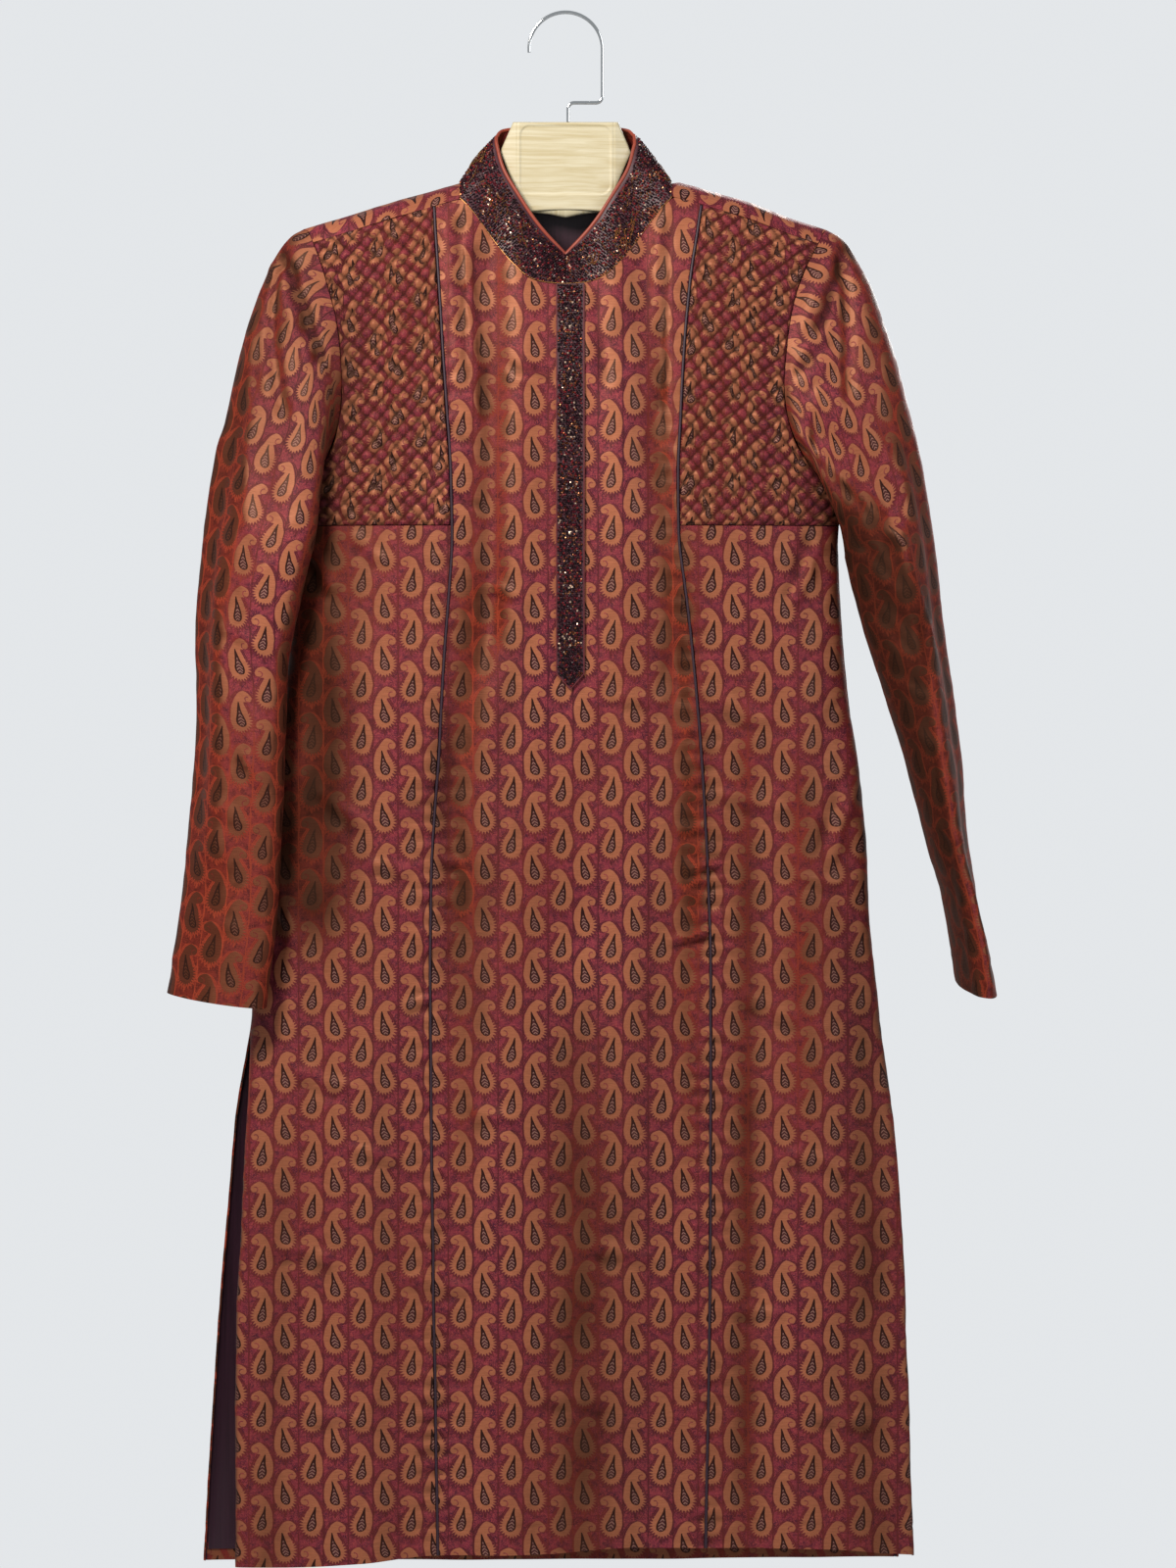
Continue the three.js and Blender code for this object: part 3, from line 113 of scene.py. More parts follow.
def unit(vectors):
    return vectors / np.maximum(np.linalg.norm(vectors, axis=-1, keepdims=True), 1e-9)


trial = columns("x y", (0, 0), (1, 2), (3, 2))
print("half way up a test curve:", round(float(along(trial, "x", "y", 0.5)), 2))

# %% [markdown]
# Cloth is never even. A cheap unevenness is a few sine waves whose lengths share no common measure, each
# bent by another, so that nothing repeats over a metre. It gives the same answer in every run, which random
# noise wouldn't without a seed.

# %% Unevenness
def uneven(x, z, length, seed=0.0):
    """Between about -1 and 1, with bumps of roughly that length."""
    u, v = np.asarray(x) / length * 2.1 + seed * 1.7, np.asarray(z) / length * 2.1 - seed * 2.3
    wave = np.sin(u + 1.3 * np.sin(0.71 * v + seed)) * np.cos(0.93 * v + 1.1 * np.sin(0.57 * u))
    return 0.6 * wave + 0.4 * np.sin(1.73 * u - 0.83 * v + 2.0 * np.sin(0.41 * v + seed))


print("unevenness at one place:", round(float(uneven(10.0, 20.0, 26.0)), 3))

# %% [markdown]
# ## The body's form
# The front and the back are two faces over the same outline: each says how far the cloth stands from the
# middle plane at a place (x, z). The section is a flattened oval that closes at the side seams, rounds over
# at the shoulder ridge, and opens below the slits. Broad folds come from a table of lines with a width and
# a rise.

# %% Sizes of the garment
FRONT, BACK = -1, 1
CLOTH = 1.6  # thickness
SEAM = 0.3  # the gap left where two pieces are sewn together
SHOULDER_ROUND = 26.0  # height over which the shoulder rounds over
FORWARD_SEAM_DROP = 14.0  # the back's front edge lies this far below the ridge
NECK_HALF = 86.3
UNDERARM_Z = -402.0
SLIT_TOP_Z = -820.0
SLIT_RUN, SLIT_OPEN = 150.0, 0.42  # below its top a slit opens over this height, to this share of the depth
SIDE_ROUNDNESS = 2.5  # 2 would be an ellipse, more is squarer
PIPING_HALF = 1.0
QUILT_BOTTOM_Z = -420.0
PLACKET_LEFT, PLACKET_RIGHT, PLACKET_BOTTOM_Z, PLACKET_TIP_Z = -7.2, 15.2, -541.0, -554.0

RIDGE = columns(
    "x left right", (0, -124, -124), (40, -129, -128), (86, -138.5, -136.5), (138, -153.5, -151),
    (180, -166, -166), (218, -177.5, -178.5), (240, -184, -186),
)
SIDES = columns(
    "z front_left front_right back_left back_right", (-120, 232, 232, 232, 232), (-300, 229, 229, 229, 229),
    (-402, 226, 227, 226, 227), (-430, 223, 223, 223, 223), (-500, 225, 226, 225, 226),
    (-565, 232, 232, 232, 232), (-640, 243, 243, 243, 243), (-750, 250, 250, 250, 250),
    (-820, 257, 257, 257, 257), (-905, 261, 268, 271, 262), (-1000, 266, 276, 279, 266),
    (-1110, 270, 280, 288, 269), (-1275, 270, 286, 298, 273),
)
DEPTHS = columns(
    "z front back", (-120, 21, 24), (-165, 23, 25), (-223, 33, 30), (-330, 45, 37), (-420, 48, 38),
    (-560, 45, 37), (-800, 38, 33), (-1275, 35, 31),
)
NECK_FRONT = columns(
    "x z", (0, -223), (16, -221.8), (29.6, -217.6), (41, -208), (51, -197), (63, -181), (73, -167),
    (81, -157.5), (86.3, -152.6),
)
NECK_BACK = columns("x z", (0, -131), (30, -131.8), (60, -134.8), (78, -137.6), (86.3, -138.6))
PIPING = columns(
    "z left right", (-150, 107.8, 112.5), (-178, 106.2, 108), (-222, 103.5, 101.5), (-274, 100.2, 97),
    (-330, 96.6, 94), (-380, 93.4, 91.8), (-426, 92.4, 92.6), (-470, 94.6, 97.4), (-514, 98, 102.8),
    (-554, 100.6, 106.8), (-604, 103.4, 110.8), (-660, 107.2, 114.2), (-720, 110, 117),
    (-800, 110.4, 118.6), (-1031, 108, 118), (-1275, 104, 114),
)
ARMHOLE = columns(
    "z front_left front_right back", (-170, 215, 215, 215), (-184, 208, 209, 212), (-225, 194, 190, 204),
    (-270, 184.5, 181, 199), (-311, 182.5, 178.5, 198), (-345, 187, 185, 201), (-372, 199, 200, 209),
    (-392, 215, 218, 219), (-402, 226, 227, 226.5),
)
HEM_FRONT = columns(
    "x z", (-290, -1272), (-180, -1271.5), (-140, -1268), (-102, -1261), (-60, -1261), (-14, -1260),
    (62, -1254.5), (159, -1256), (206, -1260), (290, -1262.5),
)
HEM_BACK = columns("x z", (-300, -1268), (-29, -1268.6), (185, -1266.5), (290, -1265))
print("from shoulder to hem:", round(float(RIDGE["left"][0] - HEM_FRONT["z"].min())), "mm")

# %% Broad folds
# Each row is a line from x0, z0 to x1, z1, then the fold's width and its rise.
FRONT_FOLDS = [
    (-62, -215, -62, -480, 12, -6), (-63, -500, -99, -650, 13, -5), (-36, -240, -30, -640, 14, 2.2),
    (63, -190, 86, -520, 12, -6), (88, -550, 114, -720, 13, -5), (44, -240, 52, -640, 14, 3),
    (8, -760, 16, -1275, 26, -6), (-40, -700, -46, -1275, 20, 3.5), (66, -740, 74, -1275, 20, 3.5),
    (144, -700, 150, -1275, 18, -5), (192, -580, 204, -1275, 20, 4.5), (232, -760, 246, -1275, 14, -5),
    (-94, -720, -90, -1275, 14, -4), (-152, -560, -160, -1275, 20, 4.5),
    (-198, -600, -214, -1275, 18, -5.5),
]
BACK_FOLDS = [
    (-120, -260, -150, -640, 22, 5), (126, -240, 148, -620, 22, 5), (-60, -330, -84, -1275, 22, -6),
    (58, -300, 90, -1275, 22, -6), (0, -420, 6, -1275, 28, 5), (-190, -640, -214, -1275, 20, -5),
    (180, -600, 206, -1275, 20, -5),
]
FOLD_FADE = 45.0


def fold_rise(rows, x, z, fade=FOLD_FADE):
    """Height of a set of folds, which fade out past both ends of their lines."""
    rise = np.zeros(np.broadcast(x, z).shape)
    for x0, z0, x1, z1, width, height in rows:
        down = (z - z0) / (z1 - z0)
        past = np.maximum(0, np.maximum(-down, down - 1)) * abs(z1 - z0)
        rise = rise + height * bell(x - mix(x0, x1, np.clip(down, 0, 1)), width) * bell(past, fade)
    return rise


print("broad folds:", len(FRONT_FOLDS), "in front,", len(BACK_FOLDS), "behind")

# %% The two faces
def side_of(x, face):
    return ("front" if face == FRONT else "back"), np.asarray(x) < 0


def ridge_z(x):
    """Height of the shoulder's ridge."""
    left, right = (along(RIDGE, "x", word, np.abs(x)) for word in ("left", "right"))
    return np.where(np.asarray(x) < 0, left, right)


def half_width(x, z, face):
    """How far the side seam is from the middle at a height."""
    word, left = side_of(x, face)
    return np.where(left, along(SIDES, "z", word + "_left", z), along(SIDES, "z", word + "_right", z))


def piping_x(side, z):
    return side * along(PIPING, "z", "left" if side < 0 else "right", z)


def armhole_x(side, z, face):
    front = "front_left" if side < 0 else "front_right"
    return along(ARMHOLE, "z", "back" if face == BACK else front, z)


def body_y(x, z, face):
    """How far forward or back the body's cloth stands at a place."""
    x, z = np.broadcast_arrays(np.asarray(x, float), np.asarray(z, float))
    across = np.clip(np.abs(x) / half_width(x, z, face), 0, 1)
    closed = (1 - across**SIDE_ROUNDNESS) ** (1 / SIDE_ROUNDNESS)
    sideways = mix(closed, 1, SLIT_OPEN * np.clip((SLIT_TOP_Z - z) / SLIT_RUN, 0, 1))
    drop = np.clip((ridge_z(x) - z) / SHOULDER_ROUND, 0, 1)
    over = np.sqrt(1 - (1 - drop) ** 2)
    depth = along(DEPTHS, "z", "front" if face == FRONT else "back", z)
    folds = fold_rise(FRONT_FOLDS if face == FRONT else BACK_FOLDS, x, z)
    return face * (depth + folds) * sideways * over


def body_normal(x, z, face):
    step = 0.05
    slope_x = (body_y(x + step, z, face) - body_y(x - step, z, face)) / (2 * step)
    slope_z = (body_y(x, z + step, face) - body_y(x, z - step, face)) / (2 * step)
    return unit(np.stack([-slope_x * face, np.full(slope_x.shape, float(face)), -slope_z * face], -1))


def body_point(x, z, face, out=0.0):
    """A place on the body, moved out square to the cloth."""
    x, z = np.broadcast_arrays(np.asarray(x, float), np.asarray(z, float))
    out = np.broadcast_to(np.asarray(out, float), x.shape)
    return np.stack([x, body_y(x, z, face), z], -1) + body_normal(x, z, face) * out[..., None]


def around_from_x(x, width):
    """An angle that makes even steps round the side seam, where steps of x would be too coarse."""
    return np.arcsin(np.clip(x / width, 0, 1) ** (SIDE_ROUNDNESS / 2))


def x_from_around(angle, width):
    return width * np.clip(np.sin(angle), 0, 1) ** (2 / SIDE_ROUNDNESS)


print("front at the chest stands", round(float(-body_y(0.0, -400.0, FRONT)), 1), "mm forward")

# %% [markdown]
# ## Small creases
# Broad folds are in the form above. What makes silk look like silk is the finer layer: sharp creases where
# it was folded, soft pulls at the seams, and puckers where a cord shortens the cloth beside it. Each crease
# is a listed line of a few millimetres' width, whose height wavers along its length.

# %% Creases of the body
# Each row is a line from x0, z0 to x1, z1, then the crease's width and its rise.
FRONT_CREASES = [
    (-154, -697, -130, -703, 4, 1.8), (-126, -1036, -82, -1043, 4, 1.6), (-118, -758, -96, -764, 4, 1.4),
    (-196, -640, -168, -662, 5, 1.6), (-212, -868, -176, -880, 5, 1.4), (-170, -930, -140, -936, 4, 1.3),
    (-232, -1010, -196, -1018, 5, 1.5), (-206, -1146, -170, -1150, 5, 1.3), (132, -640, 176, -652, 5, 1.6),
    (196, -708, 222, -712, 4, 1.4), (150, -806, 186, -822, 5, 1.4), (120, -560, 160, -580, 5, 1.5),
    (186, -934, 226, -944, 5, 1.4), (140, -1060, 170, -1064, 4, 1.3), (208, -1146, 246, -1150, 5, 1.3),
    (-66, -470, -40, -476, 4, 1.1), (44, -560, 74, -566, 4, 1.2), (-70, -900, -40, -906, 5, 1.2),
    (30, -1010, 72, -1018, 5, 1.3), (-14, -1130, 26, -1136, 5, 1.1), (-210, -436, -190, -470, 5, 1.8),
    (206, -440, 190, -480, 5, 1.8), (-170, -432, -150, -448, 4, 1.1), (150, -430, 170, -446, 4, 1.1),
    (234, -640, 216, -690, 6, 2.0), (-238, -700, -222, -760, 6, 2.0), (-88, -176, -80, -300, 4, -1.6),
    (-74, -196, -66, -330, 4, -1.5), (82, -180, 76, -320, 4, -1.4), (-40, -292, -12, -300, 4, -1.2),
    (102, -701, 118, -697, 3, 2.0), (90, -759, 118, -751, 3, 2.2), (-107, -690, -91, -694, 3, 1.8),
    (-107, -722, -95, -727, 3, 1.5), (-106, -752, -92, -758, 3, 1.7), (96, -668, 112, -664, 3, 1.4),
    (120, -836, 138, -842, 3, 1.6), (-128, -812, -112, -806, 3, 1.5), (-96, -398, -70, -404, 4, -1.2),
    (-95, -344, -80, -350, 4, -1.2), (24, -236, 30, -300, 4, -1.0),
]
BACK_CREASES = [
    (-180, -240, -120, -300, 7, 2.2), (176, -236, 120, -296, 7, 2.2), (-40, -190, 40, -196, 7, 1.6),
    (-150, -470, -90, -480, 5, 1.5), (96, -500, 150, -508, 5, 1.5), (-200, -640, -150, -660, 5, 1.6),
    (150, -700, 206, -712, 5, 1.6), (-60, -820, 10, -830, 5, 1.4), (-210, -930, -160, -936, 5, 1.4),
    (60, -960, 120, -970, 5, 1.4), (170, -1060, 220, -1066, 5, 1.4), (-120, -1100, -60, -1106, 5, 1.3),
]
CREASE_FADE = 6.0


def crease_rise(rows, x, z, seed=0.0):
    """Height of a set of creases, measured across each line's own direction."""
    rise = np.zeros(np.broadcast(x, z).shape)
    for number, (x0, z0, x1, z1, width, height) in enumerate(rows):
        run_x, run_z = x1 - x0, z1 - z0
        length = math.hypot(run_x, run_z)
        t = ((x - x0) * run_x + (z - z0) * run_z) / length**2
        inside = np.clip(t, 0, 1)
        wander = uneven(inside * length, 0, 18, seed + number) * width * 0.35
        across = ((x - x0) * run_z - (z - z0) * run_x) / length + wander
        past = np.maximum(0, np.maximum(-t, t - 1)) * length
        wave = 0.75 + 0.25 * uneven(inside * length, 5, 14, seed + number)
        # A ridge with a hollow beside it.
        fold = bell(across, width) - 0.55 * bell(across - 1.9 * width, width)
        rise = rise + height * wave * fold * bell(past, CREASE_FADE)
    return rise


def seam_puckers(x, z, seam_x, reach, pitch, height, seed):
    """Short ridges square to a sewn line, strongest at the stitches."""
    distance = np.abs(x - seam_x)
    ridge = np.sin(z / pitch * 2 * math.pi + 1.6 * uneven(x * 0.2, z, pitch * 2.2, seed))
    strength = 0.55 + 0.45 * uneven(0, z, 70, seed + 4)
    return height * ridge * strength * bell(distance, reach) * smooth(0, 3, distance + 1.5)


HEM_STITCH, STITCH_WIDTH, STITCH_DEPTH = 24.0, 1.8, 0.5  # the hem's line of stitches, above its edge


def hem_stitch(z, hem_z):
    return STITCH_DEPTH * bell(z - hem_z - HEM_STITCH, STITCH_WIDTH)


def front_detail(x, z):
    rise = 1.8 * crease_rise(FRONT_CREASES, x, z)
    rise = rise + 0.7 * uneven(x, z * 0.45, 26, 3) + 0.25 * uneven(x, z, 9, 5)
    for side in (-1, 1):
        strength = mix(0.45, 1.0, smooth(-480, -640, z))
        rise = rise + strength * seam_puckers(x, z, piping_x(side, z), 17, 14, 1.7, side + 2)
    hem_z = along(HEM_FRONT, "x", "z", x)
    return rise - hem_stitch(z, hem_z) + 0.35 * uneven(x, 0, 16, 8) * bell(z - hem_z - 10, 14)


def back_detail(x, z):
    rise = crease_rise(BACK_CREASES, x, z) + 0.7 * uneven(x, z * 0.4, 34, 7) + 0.22 * uneven(x, z, 10, 9)
    return rise - hem_stitch(z, along(HEM_BACK, "x", "z", x))


print("creases:", len(FRONT_CREASES), "in front,", len(BACK_CREASES), "behind")

# %% [markdown]
# ## From a grid of points to cloth
# A cloth piece here is two grids of the same cells: the outer face, and the inner face a cloth's thickness
# behind it, joined by a rim. It stays a thin closed shell with two faces, so the lining side can have its
# own finish. The flat coordinates of the cloth, in millimetres, are kept as a UV map: a woven pattern runs
# along the cloth, not along the room, so every piece needs to know where on the bolt it was cut.

# %% Cloth from two grids
CLOTH_MAP = "cloth"
# Two numbers on each point: the turn picks between the two shot palettes, and the painted shade darkens the
# colour.
TURN, PAINTED_SHADE = "turn", "painted_shade"


def grid_cells(rows, cols, around=False, keep=None):
    """The four corners of each cell of a grid, with its row and column; around closes it to a tube."""
    r, c = np.meshgrid(np.arange(rows - 1), np.arange(cols if around else cols - 1), indexing="ij")
    if keep is not None:
        r, c = r[keep], c[keep]
    r, c = r.ravel(), c.ravel()
    after = (c + 1) % cols
    return np.stack([r * cols + c, r * cols + after, (r + 1) * cols + after, (r + 1) * cols + c], 1), r, c


def rim_of(cells):
    """Directed edges that only one cell uses."""
    edges = np.concatenate([cells[:, [i, (i + 1) % 4]] for i in range(4)])
    known = {(a, b) for a, b in edges.tolist()}
    return np.array([(a, b) for a, b in edges.tolist() if (b, a) not in known])


def shell(outer, inner, cloth, around, keep):
    """Points, faces and flat corners of a closed shell, and how many cells each of its two sides has."""
    rows, cols = outer.shape[:2]
    cells, r, c = grid_cells(rows, cols, around, keep)
    offset = rows * cols
    points = np.concatenate([outer.reshape(-1, 3), inner.reshape(-1, 3)])
    rim = rim_of(cells)
    walls = np.stack([rim[:, 1], rim[:, 0], rim[:, 0] + offset, rim[:, 1] + offset], 1)
    faces = np.concatenate([cells, cells[:, ::-1] + offset, walls])
    wide = cloth.shape[1]
    corner = np.stack([r * wide + c, r * wide + c + 1, (r + 1) * wide + c + 1, (r + 1) * wide + c], 1)
    flat = cloth.reshape(-1, 2)
    rim_flat = cloth[:, :cols].reshape(-1, 2)[walls % offset]
    return points, faces, np.concatenate([flat[corner], flat[corner[:, ::-1]], rim_flat]), len(cells)


def volume_of(points, faces):
    """Six times the volume inside; it is negative where the faces point inwards."""
    a, b, d, e = (points[faces[:, i]] for i in range(4))
    return np.einsum("ij,ij->", a, np.cross(b, d)) + np.einsum("ij,ij->", a, np.cross(d, e))


# %% From points and faces to an object
SHARP_ANGLE = math.radians(50)


def new_piece(name, points, faces, materials):
    """A mesh object from points in mm."""
    mesh = bpy.data.meshes.new(name)
    mesh.from_pydata((np.asarray(points) * MM).tolist(), [], faces)
    for material in materials:
        mesh.materials.append(material)
    piece = bpy.data.objects.new(name, mesh)
    bpy.context.collection.objects.link(piece)
    return piece


def shade_smooth(mesh):
    mesh.polygons.foreach_set("use_smooth", np.ones(len(mesh.polygons), bool))
    mesh.set_sharp_from_angle(angle=SHARP_ANGLE)


def point_number(mesh, name, values):
    """Keeps one number on each point, for the materials to read."""
    data = mesh.attributes.new(name, "FLOAT", "POINT").data
    data.foreach_set("value", values.astype(np.float32))


def cloth_mesh(name, outer, inner, cloth, materials, around=False, keep=None, turn=0.0, painted_shade=0.0):
    """outer and inner are rows x columns x 3 in mm; cloth is the flat place of each point.

    A tube closes around, so its cloth has one column more: its last cell ends where the first starts.
    """
    points, faces, uv, sheet_cells = shell(outer, inner, cloth, around, keep)
    if volume_of(points, faces) < 0:
        faces, uv = faces[:, ::-1], uv[:, ::-1]
    used, faces = np.unique(faces, return_inverse=True)
    faces = faces.reshape(-1, 4)
    piece = new_piece(name, points[used], faces.tolist(), materials)
    layer = piece.data.uv_layers.new(name=CLOTH_MAP)
    layer.data.foreach_set("uv", uv.reshape(-1, 2).ravel().astype(np.float32))
    for attribute, value in ((TURN, turn), (PAINTED_SHADE, painted_shade)):
        both = np.concatenate([np.broadcast_to(value, outer.shape[:2]).ravel()] * 2)
        point_number(piece.data, attribute, both[used])
    inside = np.zeros(len(faces), np.int32)
    inside[sheet_cells:2 * sheet_cells] = len(materials) - 1
    piece.data.polygons.foreach_set("material_index", inside)
    shade_smooth(piece.data)
    print(f"{name}: {len(faces)} faces")
    return piece


# %% Measures of a grid
def grid_normals(grid, around=False):
    """Normals of a grid of points, facing the side that the first row and column turn towards."""
    if around:
        beside = np.roll(grid, -1, 1) - np.roll(grid, 1, 1)
    else:
        beside = np.gradient(grid, axis=1)
    return unit(np.cross(beside, np.gradient(grid, axis=0)))


def lengths(path):
    """The way from the first point of a path to each of its points."""
    return np.concatenate([[0], np.cumsum(np.linalg.norm(np.diff(path, axis=0), axis=-1))])


def flat_cloth(grid):
    """Flat coordinates by the mean length of the rows and of the columns."""
    across = np.linalg.norm(np.diff(grid, axis=1), axis=2).mean(0)
    down = np.linalg.norm(np.diff(grid, axis=0), axis=2).mean(1)
    return np.stack(np.meshgrid(np.concatenate([[0], np.cumsum(across)]),
                                -np.concatenate([[0], np.cumsum(down)])), -1)


# %% Where every cloth piece rides
def dress(piece, node_name):
    """It rides on the one body and stands for its solid, which it hides."""
    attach(piece, "root")
    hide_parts(node_name)


print("cloth can be made")

# %% [markdown]
# ## Finishes
# Each finish is a small network of shader nodes. Colours are written as the sRGB hex values a dyer's card
# would give, and one function turns them to the linear numbers that Blender works in. One more function
# adds a node with its settings and links, so that a network reads as a list of what happens to the light.

# %% Colour and nodes
def linear(hex_colour):
    """An sRGB hex colour as linear red, green, blue and alpha."""
    srgb = [int(hex_colour[i:i + 2], 16) / 255 for i in (1, 3, 5)]
    return tuple(c / 12.92 if c <= 0.04045 else ((c + 0.055) / 1.055) ** 2.4 for c in srgb) + (1.0,)


def add(tree, kind, inputs=(), **settings):
    """Adds a node. inputs maps sockets to values, to nodes (their first output) or to outputs."""
    node = tree.nodes.new(kind)
    for key, value in settings.items():
        setattr(node, key, value)
    for key, value in dict(inputs).items():
        if isinstance(value, bpy.types.Node):
            value = value.outputs[0]
        if isinstance(value, bpy.types.NodeSocket):
            tree.links.new(value, node.inputs[key])
        else:
            node.inputs[key].default_value = value
    return node


MATH, MIX, VECTOR = "ShaderNodeMath", "ShaderNodeMix", "ShaderNodeVectorMath"
NOISE, RANGE = "ShaderNodeTexNoise", "ShaderNodeMapRange"
UV, NUMBER = "ShaderNodeUVMap", "ShaderNodeAttribute"
MIX_FACTOR, MIX_A, MIX_B, MIX_RESULT = 0, 6, 7, 2  # the colour sockets of a Mix node


def new_material(name):
    """The shader's own IOR of 1.5 is right for fibre, glass and lacquer, so no finish here changes it."""
    material = bpy.data.materials.new(name)
    material.use_nodes = True
    tree = material.node_tree
    return material, tree, tree.nodes["Principled BSDF"]


print("a dyer's mid grey #808080 is", round(linear("#808080")[0], 3), "in linear light")

# %% [markdown]
# ## The boteh
# The boteh, or paisley, is a traditional woven figure: a drop whose tip curls over, with a fringe of short
# rays round its bulb and a slender dark drop inside. On this cloth it stands in columns 20 mm apart. Every
# second column is mirrored and set half a repeat lower. A loom repeats the same threads, so the pattern is
# worked out from the place inside one repeat: two curves give the figure's left and right edge at each
# height, an angle round the bulb gives the rays, and a ring gives the curl of the tip.

# %% Size of the repeat
COLUMN, REPEAT = 20.4, 42.6
COLUMN_START, REPEAT_START = -44.8, -719.0
RAYS = 24
BULB = (1.2, -6.6)
CURL = (-4.7, 11.7)
LEFT_EDGE = [
    (-15.6, 3.2), (-15.2, 0.2), (-14.2, -2.6), (-12.2, -4.8), (-9.4, -6), (-6, -6.3), (-2, -5.8), (1, -4.7),
    (4, -3.3), (6.3, -1.8), (8.2, -0.8), (8.8, -1.2), (9.1, -5), (10.4, -7.4), (12.6, -8.3), (14.8, -7.7),
    (16.6, -5.6), (17.9, -3), (18.3, -1), (18.7, 2),
]
RIGHT_EDGE = [
    (-15.6, -2), (-15.2, 1.4), (-14.3, 4.4), (-12.4, 6.8), (-9.6, 8.5), (-6, 9.4), (-2, 9.7), (2, 9.4),
    (6, 8.4), (9, 7.2), (12, 5.8), (14.5, 4.1), (16.5, 2.2), (17.9, 0), (18.3, -1), (18.7, -5),
]
DROP_WIDTH = [
    (-11.8, -1.5), (-11.4, 0.6), (-10.6, 2.4), (-9.2, 3.5), (-7, 3.9), (-5, 3.6), (-2, 2.7), (1, 1.8),
    (4, 1.1), (8.4, 0.3), (9.2, -1),
]


def edge_curve(tree, share, points):
    """A curve over one repeat's height, 0 to 1; its value is a width of the column, 0 to 1."""
    node = add(tree, "ShaderNodeFloatCurve", {"Value": share})
    curve = node.mapping.curves[0]
    places = [(y / REPEAT + 0.5, x / COLUMN + 0.5) for y, x in points]
    curve.points[0].location, curve.points[1].location = places[0], places[-1]
    for place in places[1:-1]:
        curve.points.new(*place)
    for point in curve.points:
        point.handle_type = "VECTOR"
    node.mapping.extend = "HORIZONTAL"
    node.mapping.update()
    return add(tree, MATH, {0: node, 1: COLUMN, 2: -COLUMN / 2}, operation="MULTIPLY_ADD")


print("one repeat is", COLUMN, "by", REPEAT, "mm")

# %% The place inside one repeat
def place_in_repeat(tree, flat):
    """x and y in mm from the figure's middle, the share of the repeat's height, and the yarn's unevenness."""
    slub = add(tree, NOISE, {"Vector": flat, "Scale": 0.09, "Detail": 1.0}, noise_dimensions="2D")
    sway = add(tree, VECTOR, {0: slub.outputs["Color"], 1: (0.5, 0.5, 0.5)}, operation="SUBTRACT")
    sway = add(tree, VECTOR, {0: sway, "Scale": 1.6}, operation="SCALE")
    moved = add(tree, VECTOR, {0: flat, 1: sway}, operation="ADD")
    place = add(tree, "ShaderNodeSeparateXYZ", {0: moved})
    across = add(tree, MATH, {0: place.outputs[0], 1: 1 / COLUMN, 2: -COLUMN_START / COLUMN},
                 operation="MULTIPLY_ADD")
    number = add(tree, MATH, {0: across}, operation="ROUND")
    odd = add(tree, MATH, {0: number, 1: 1.0}, operation="PINGPONG")
    mirror = add(tree, MATH, {0: odd, 1: -2 * COLUMN, 2: COLUMN}, operation="MULTIPLY_ADD")
    x = add(tree, MATH, {0: across, 1: number}, operation="SUBTRACT")
    x = add(tree, MATH, {0: x, 1: mirror}, operation="MULTIPLY")
    down = add(tree, MATH, {0: place.outputs[1], 1: 1 / REPEAT, 2: -REPEAT_START / REPEAT},
               operation="MULTIPLY_ADD")
    down = add(tree, MATH, {0: odd, 1: 0.5, 2: down}, operation="MULTIPLY_ADD")
    share = add(tree, MATH, {0: down, 1: 0.5}, operation="ADD")
    share = add(tree, MATH, {0: share}, operation="FRACT")
    y = add(tree, MATH, {0: share, 1: REPEAT, 2: -REPEAT / 2}, operation="MULTIPLY_ADD")
    return x, y, share, slub


# %% The figure with its rays
RAY_LENGTH, BULB_RADIUS, BARE_SIDE = 3.6, 7.0, (-7.66, -6.43, 0)  # rays leave out the side towards the curl


def boteh_figure(tree, x, y, share):
    """More than 0 inside the figure."""
    left = add(tree, MATH, {0: x, 1: edge_curve(tree, share, LEFT_EDGE)}, operation="SUBTRACT")
    right = add(tree, MATH, {0: edge_curve(tree, share, RIGHT_EDGE), 1: x}, operation="SUBTRACT")
    body = add(tree, MATH, {0: left, 1: right}, operation="MINIMUM")

    bulb = add(tree, "ShaderNodeCombineXYZ", {0: x, 1: y})
    bulb = add(tree, VECTOR, {0: bulb, 1: (*BULB, 0)}, operation="SUBTRACT")
    radius = add(tree, VECTOR, {0: bulb}, operation="LENGTH").outputs["Value"]
    parts = add(tree, "ShaderNodeSeparateXYZ", {0: bulb})
    angle = add(tree, MATH, {0: parts.outputs[1], 1: parts.outputs[0]}, operation="ARCTAN2")
    ray = add(tree, MATH, {0: angle, 1: RAYS / math.pi}, operation="MULTIPLY")
    ray = add(tree, MATH, {0: ray, 1: 1.0}, operation="PINGPONG")
    reach = add(tree, MATH, {0: ray, 1: RAY_LENGTH, 2: BULB_RADIUS}, operation="MULTIPLY_ADD")
    rays = add(tree, MATH, {0: reach, 1: radius}, operation="SUBTRACT")
    towards = add(tree, VECTOR, {0: bulb, 1: BARE_SIDE}, operation="DOT_PRODUCT")
    bare = add(tree, MATH, {0: towards.outputs["Value"], 1: radius}, operation="DIVIDE")
    bare = add(tree, MATH, {0: bare, 1: 1.7}, operation="ADD")
    rays = add(tree, MATH, {0: rays, 1: bare}, operation="MINIMUM")
    return add(tree, MATH, {0: body, 1: rays, 2: 0.3}, operation="SMOOTH_MAX")


# %% The curl and the drop
CURL_RADIUS, CURL_LINE = 2.3, 0.45
CHEVRONS_PER_MM = 0.8


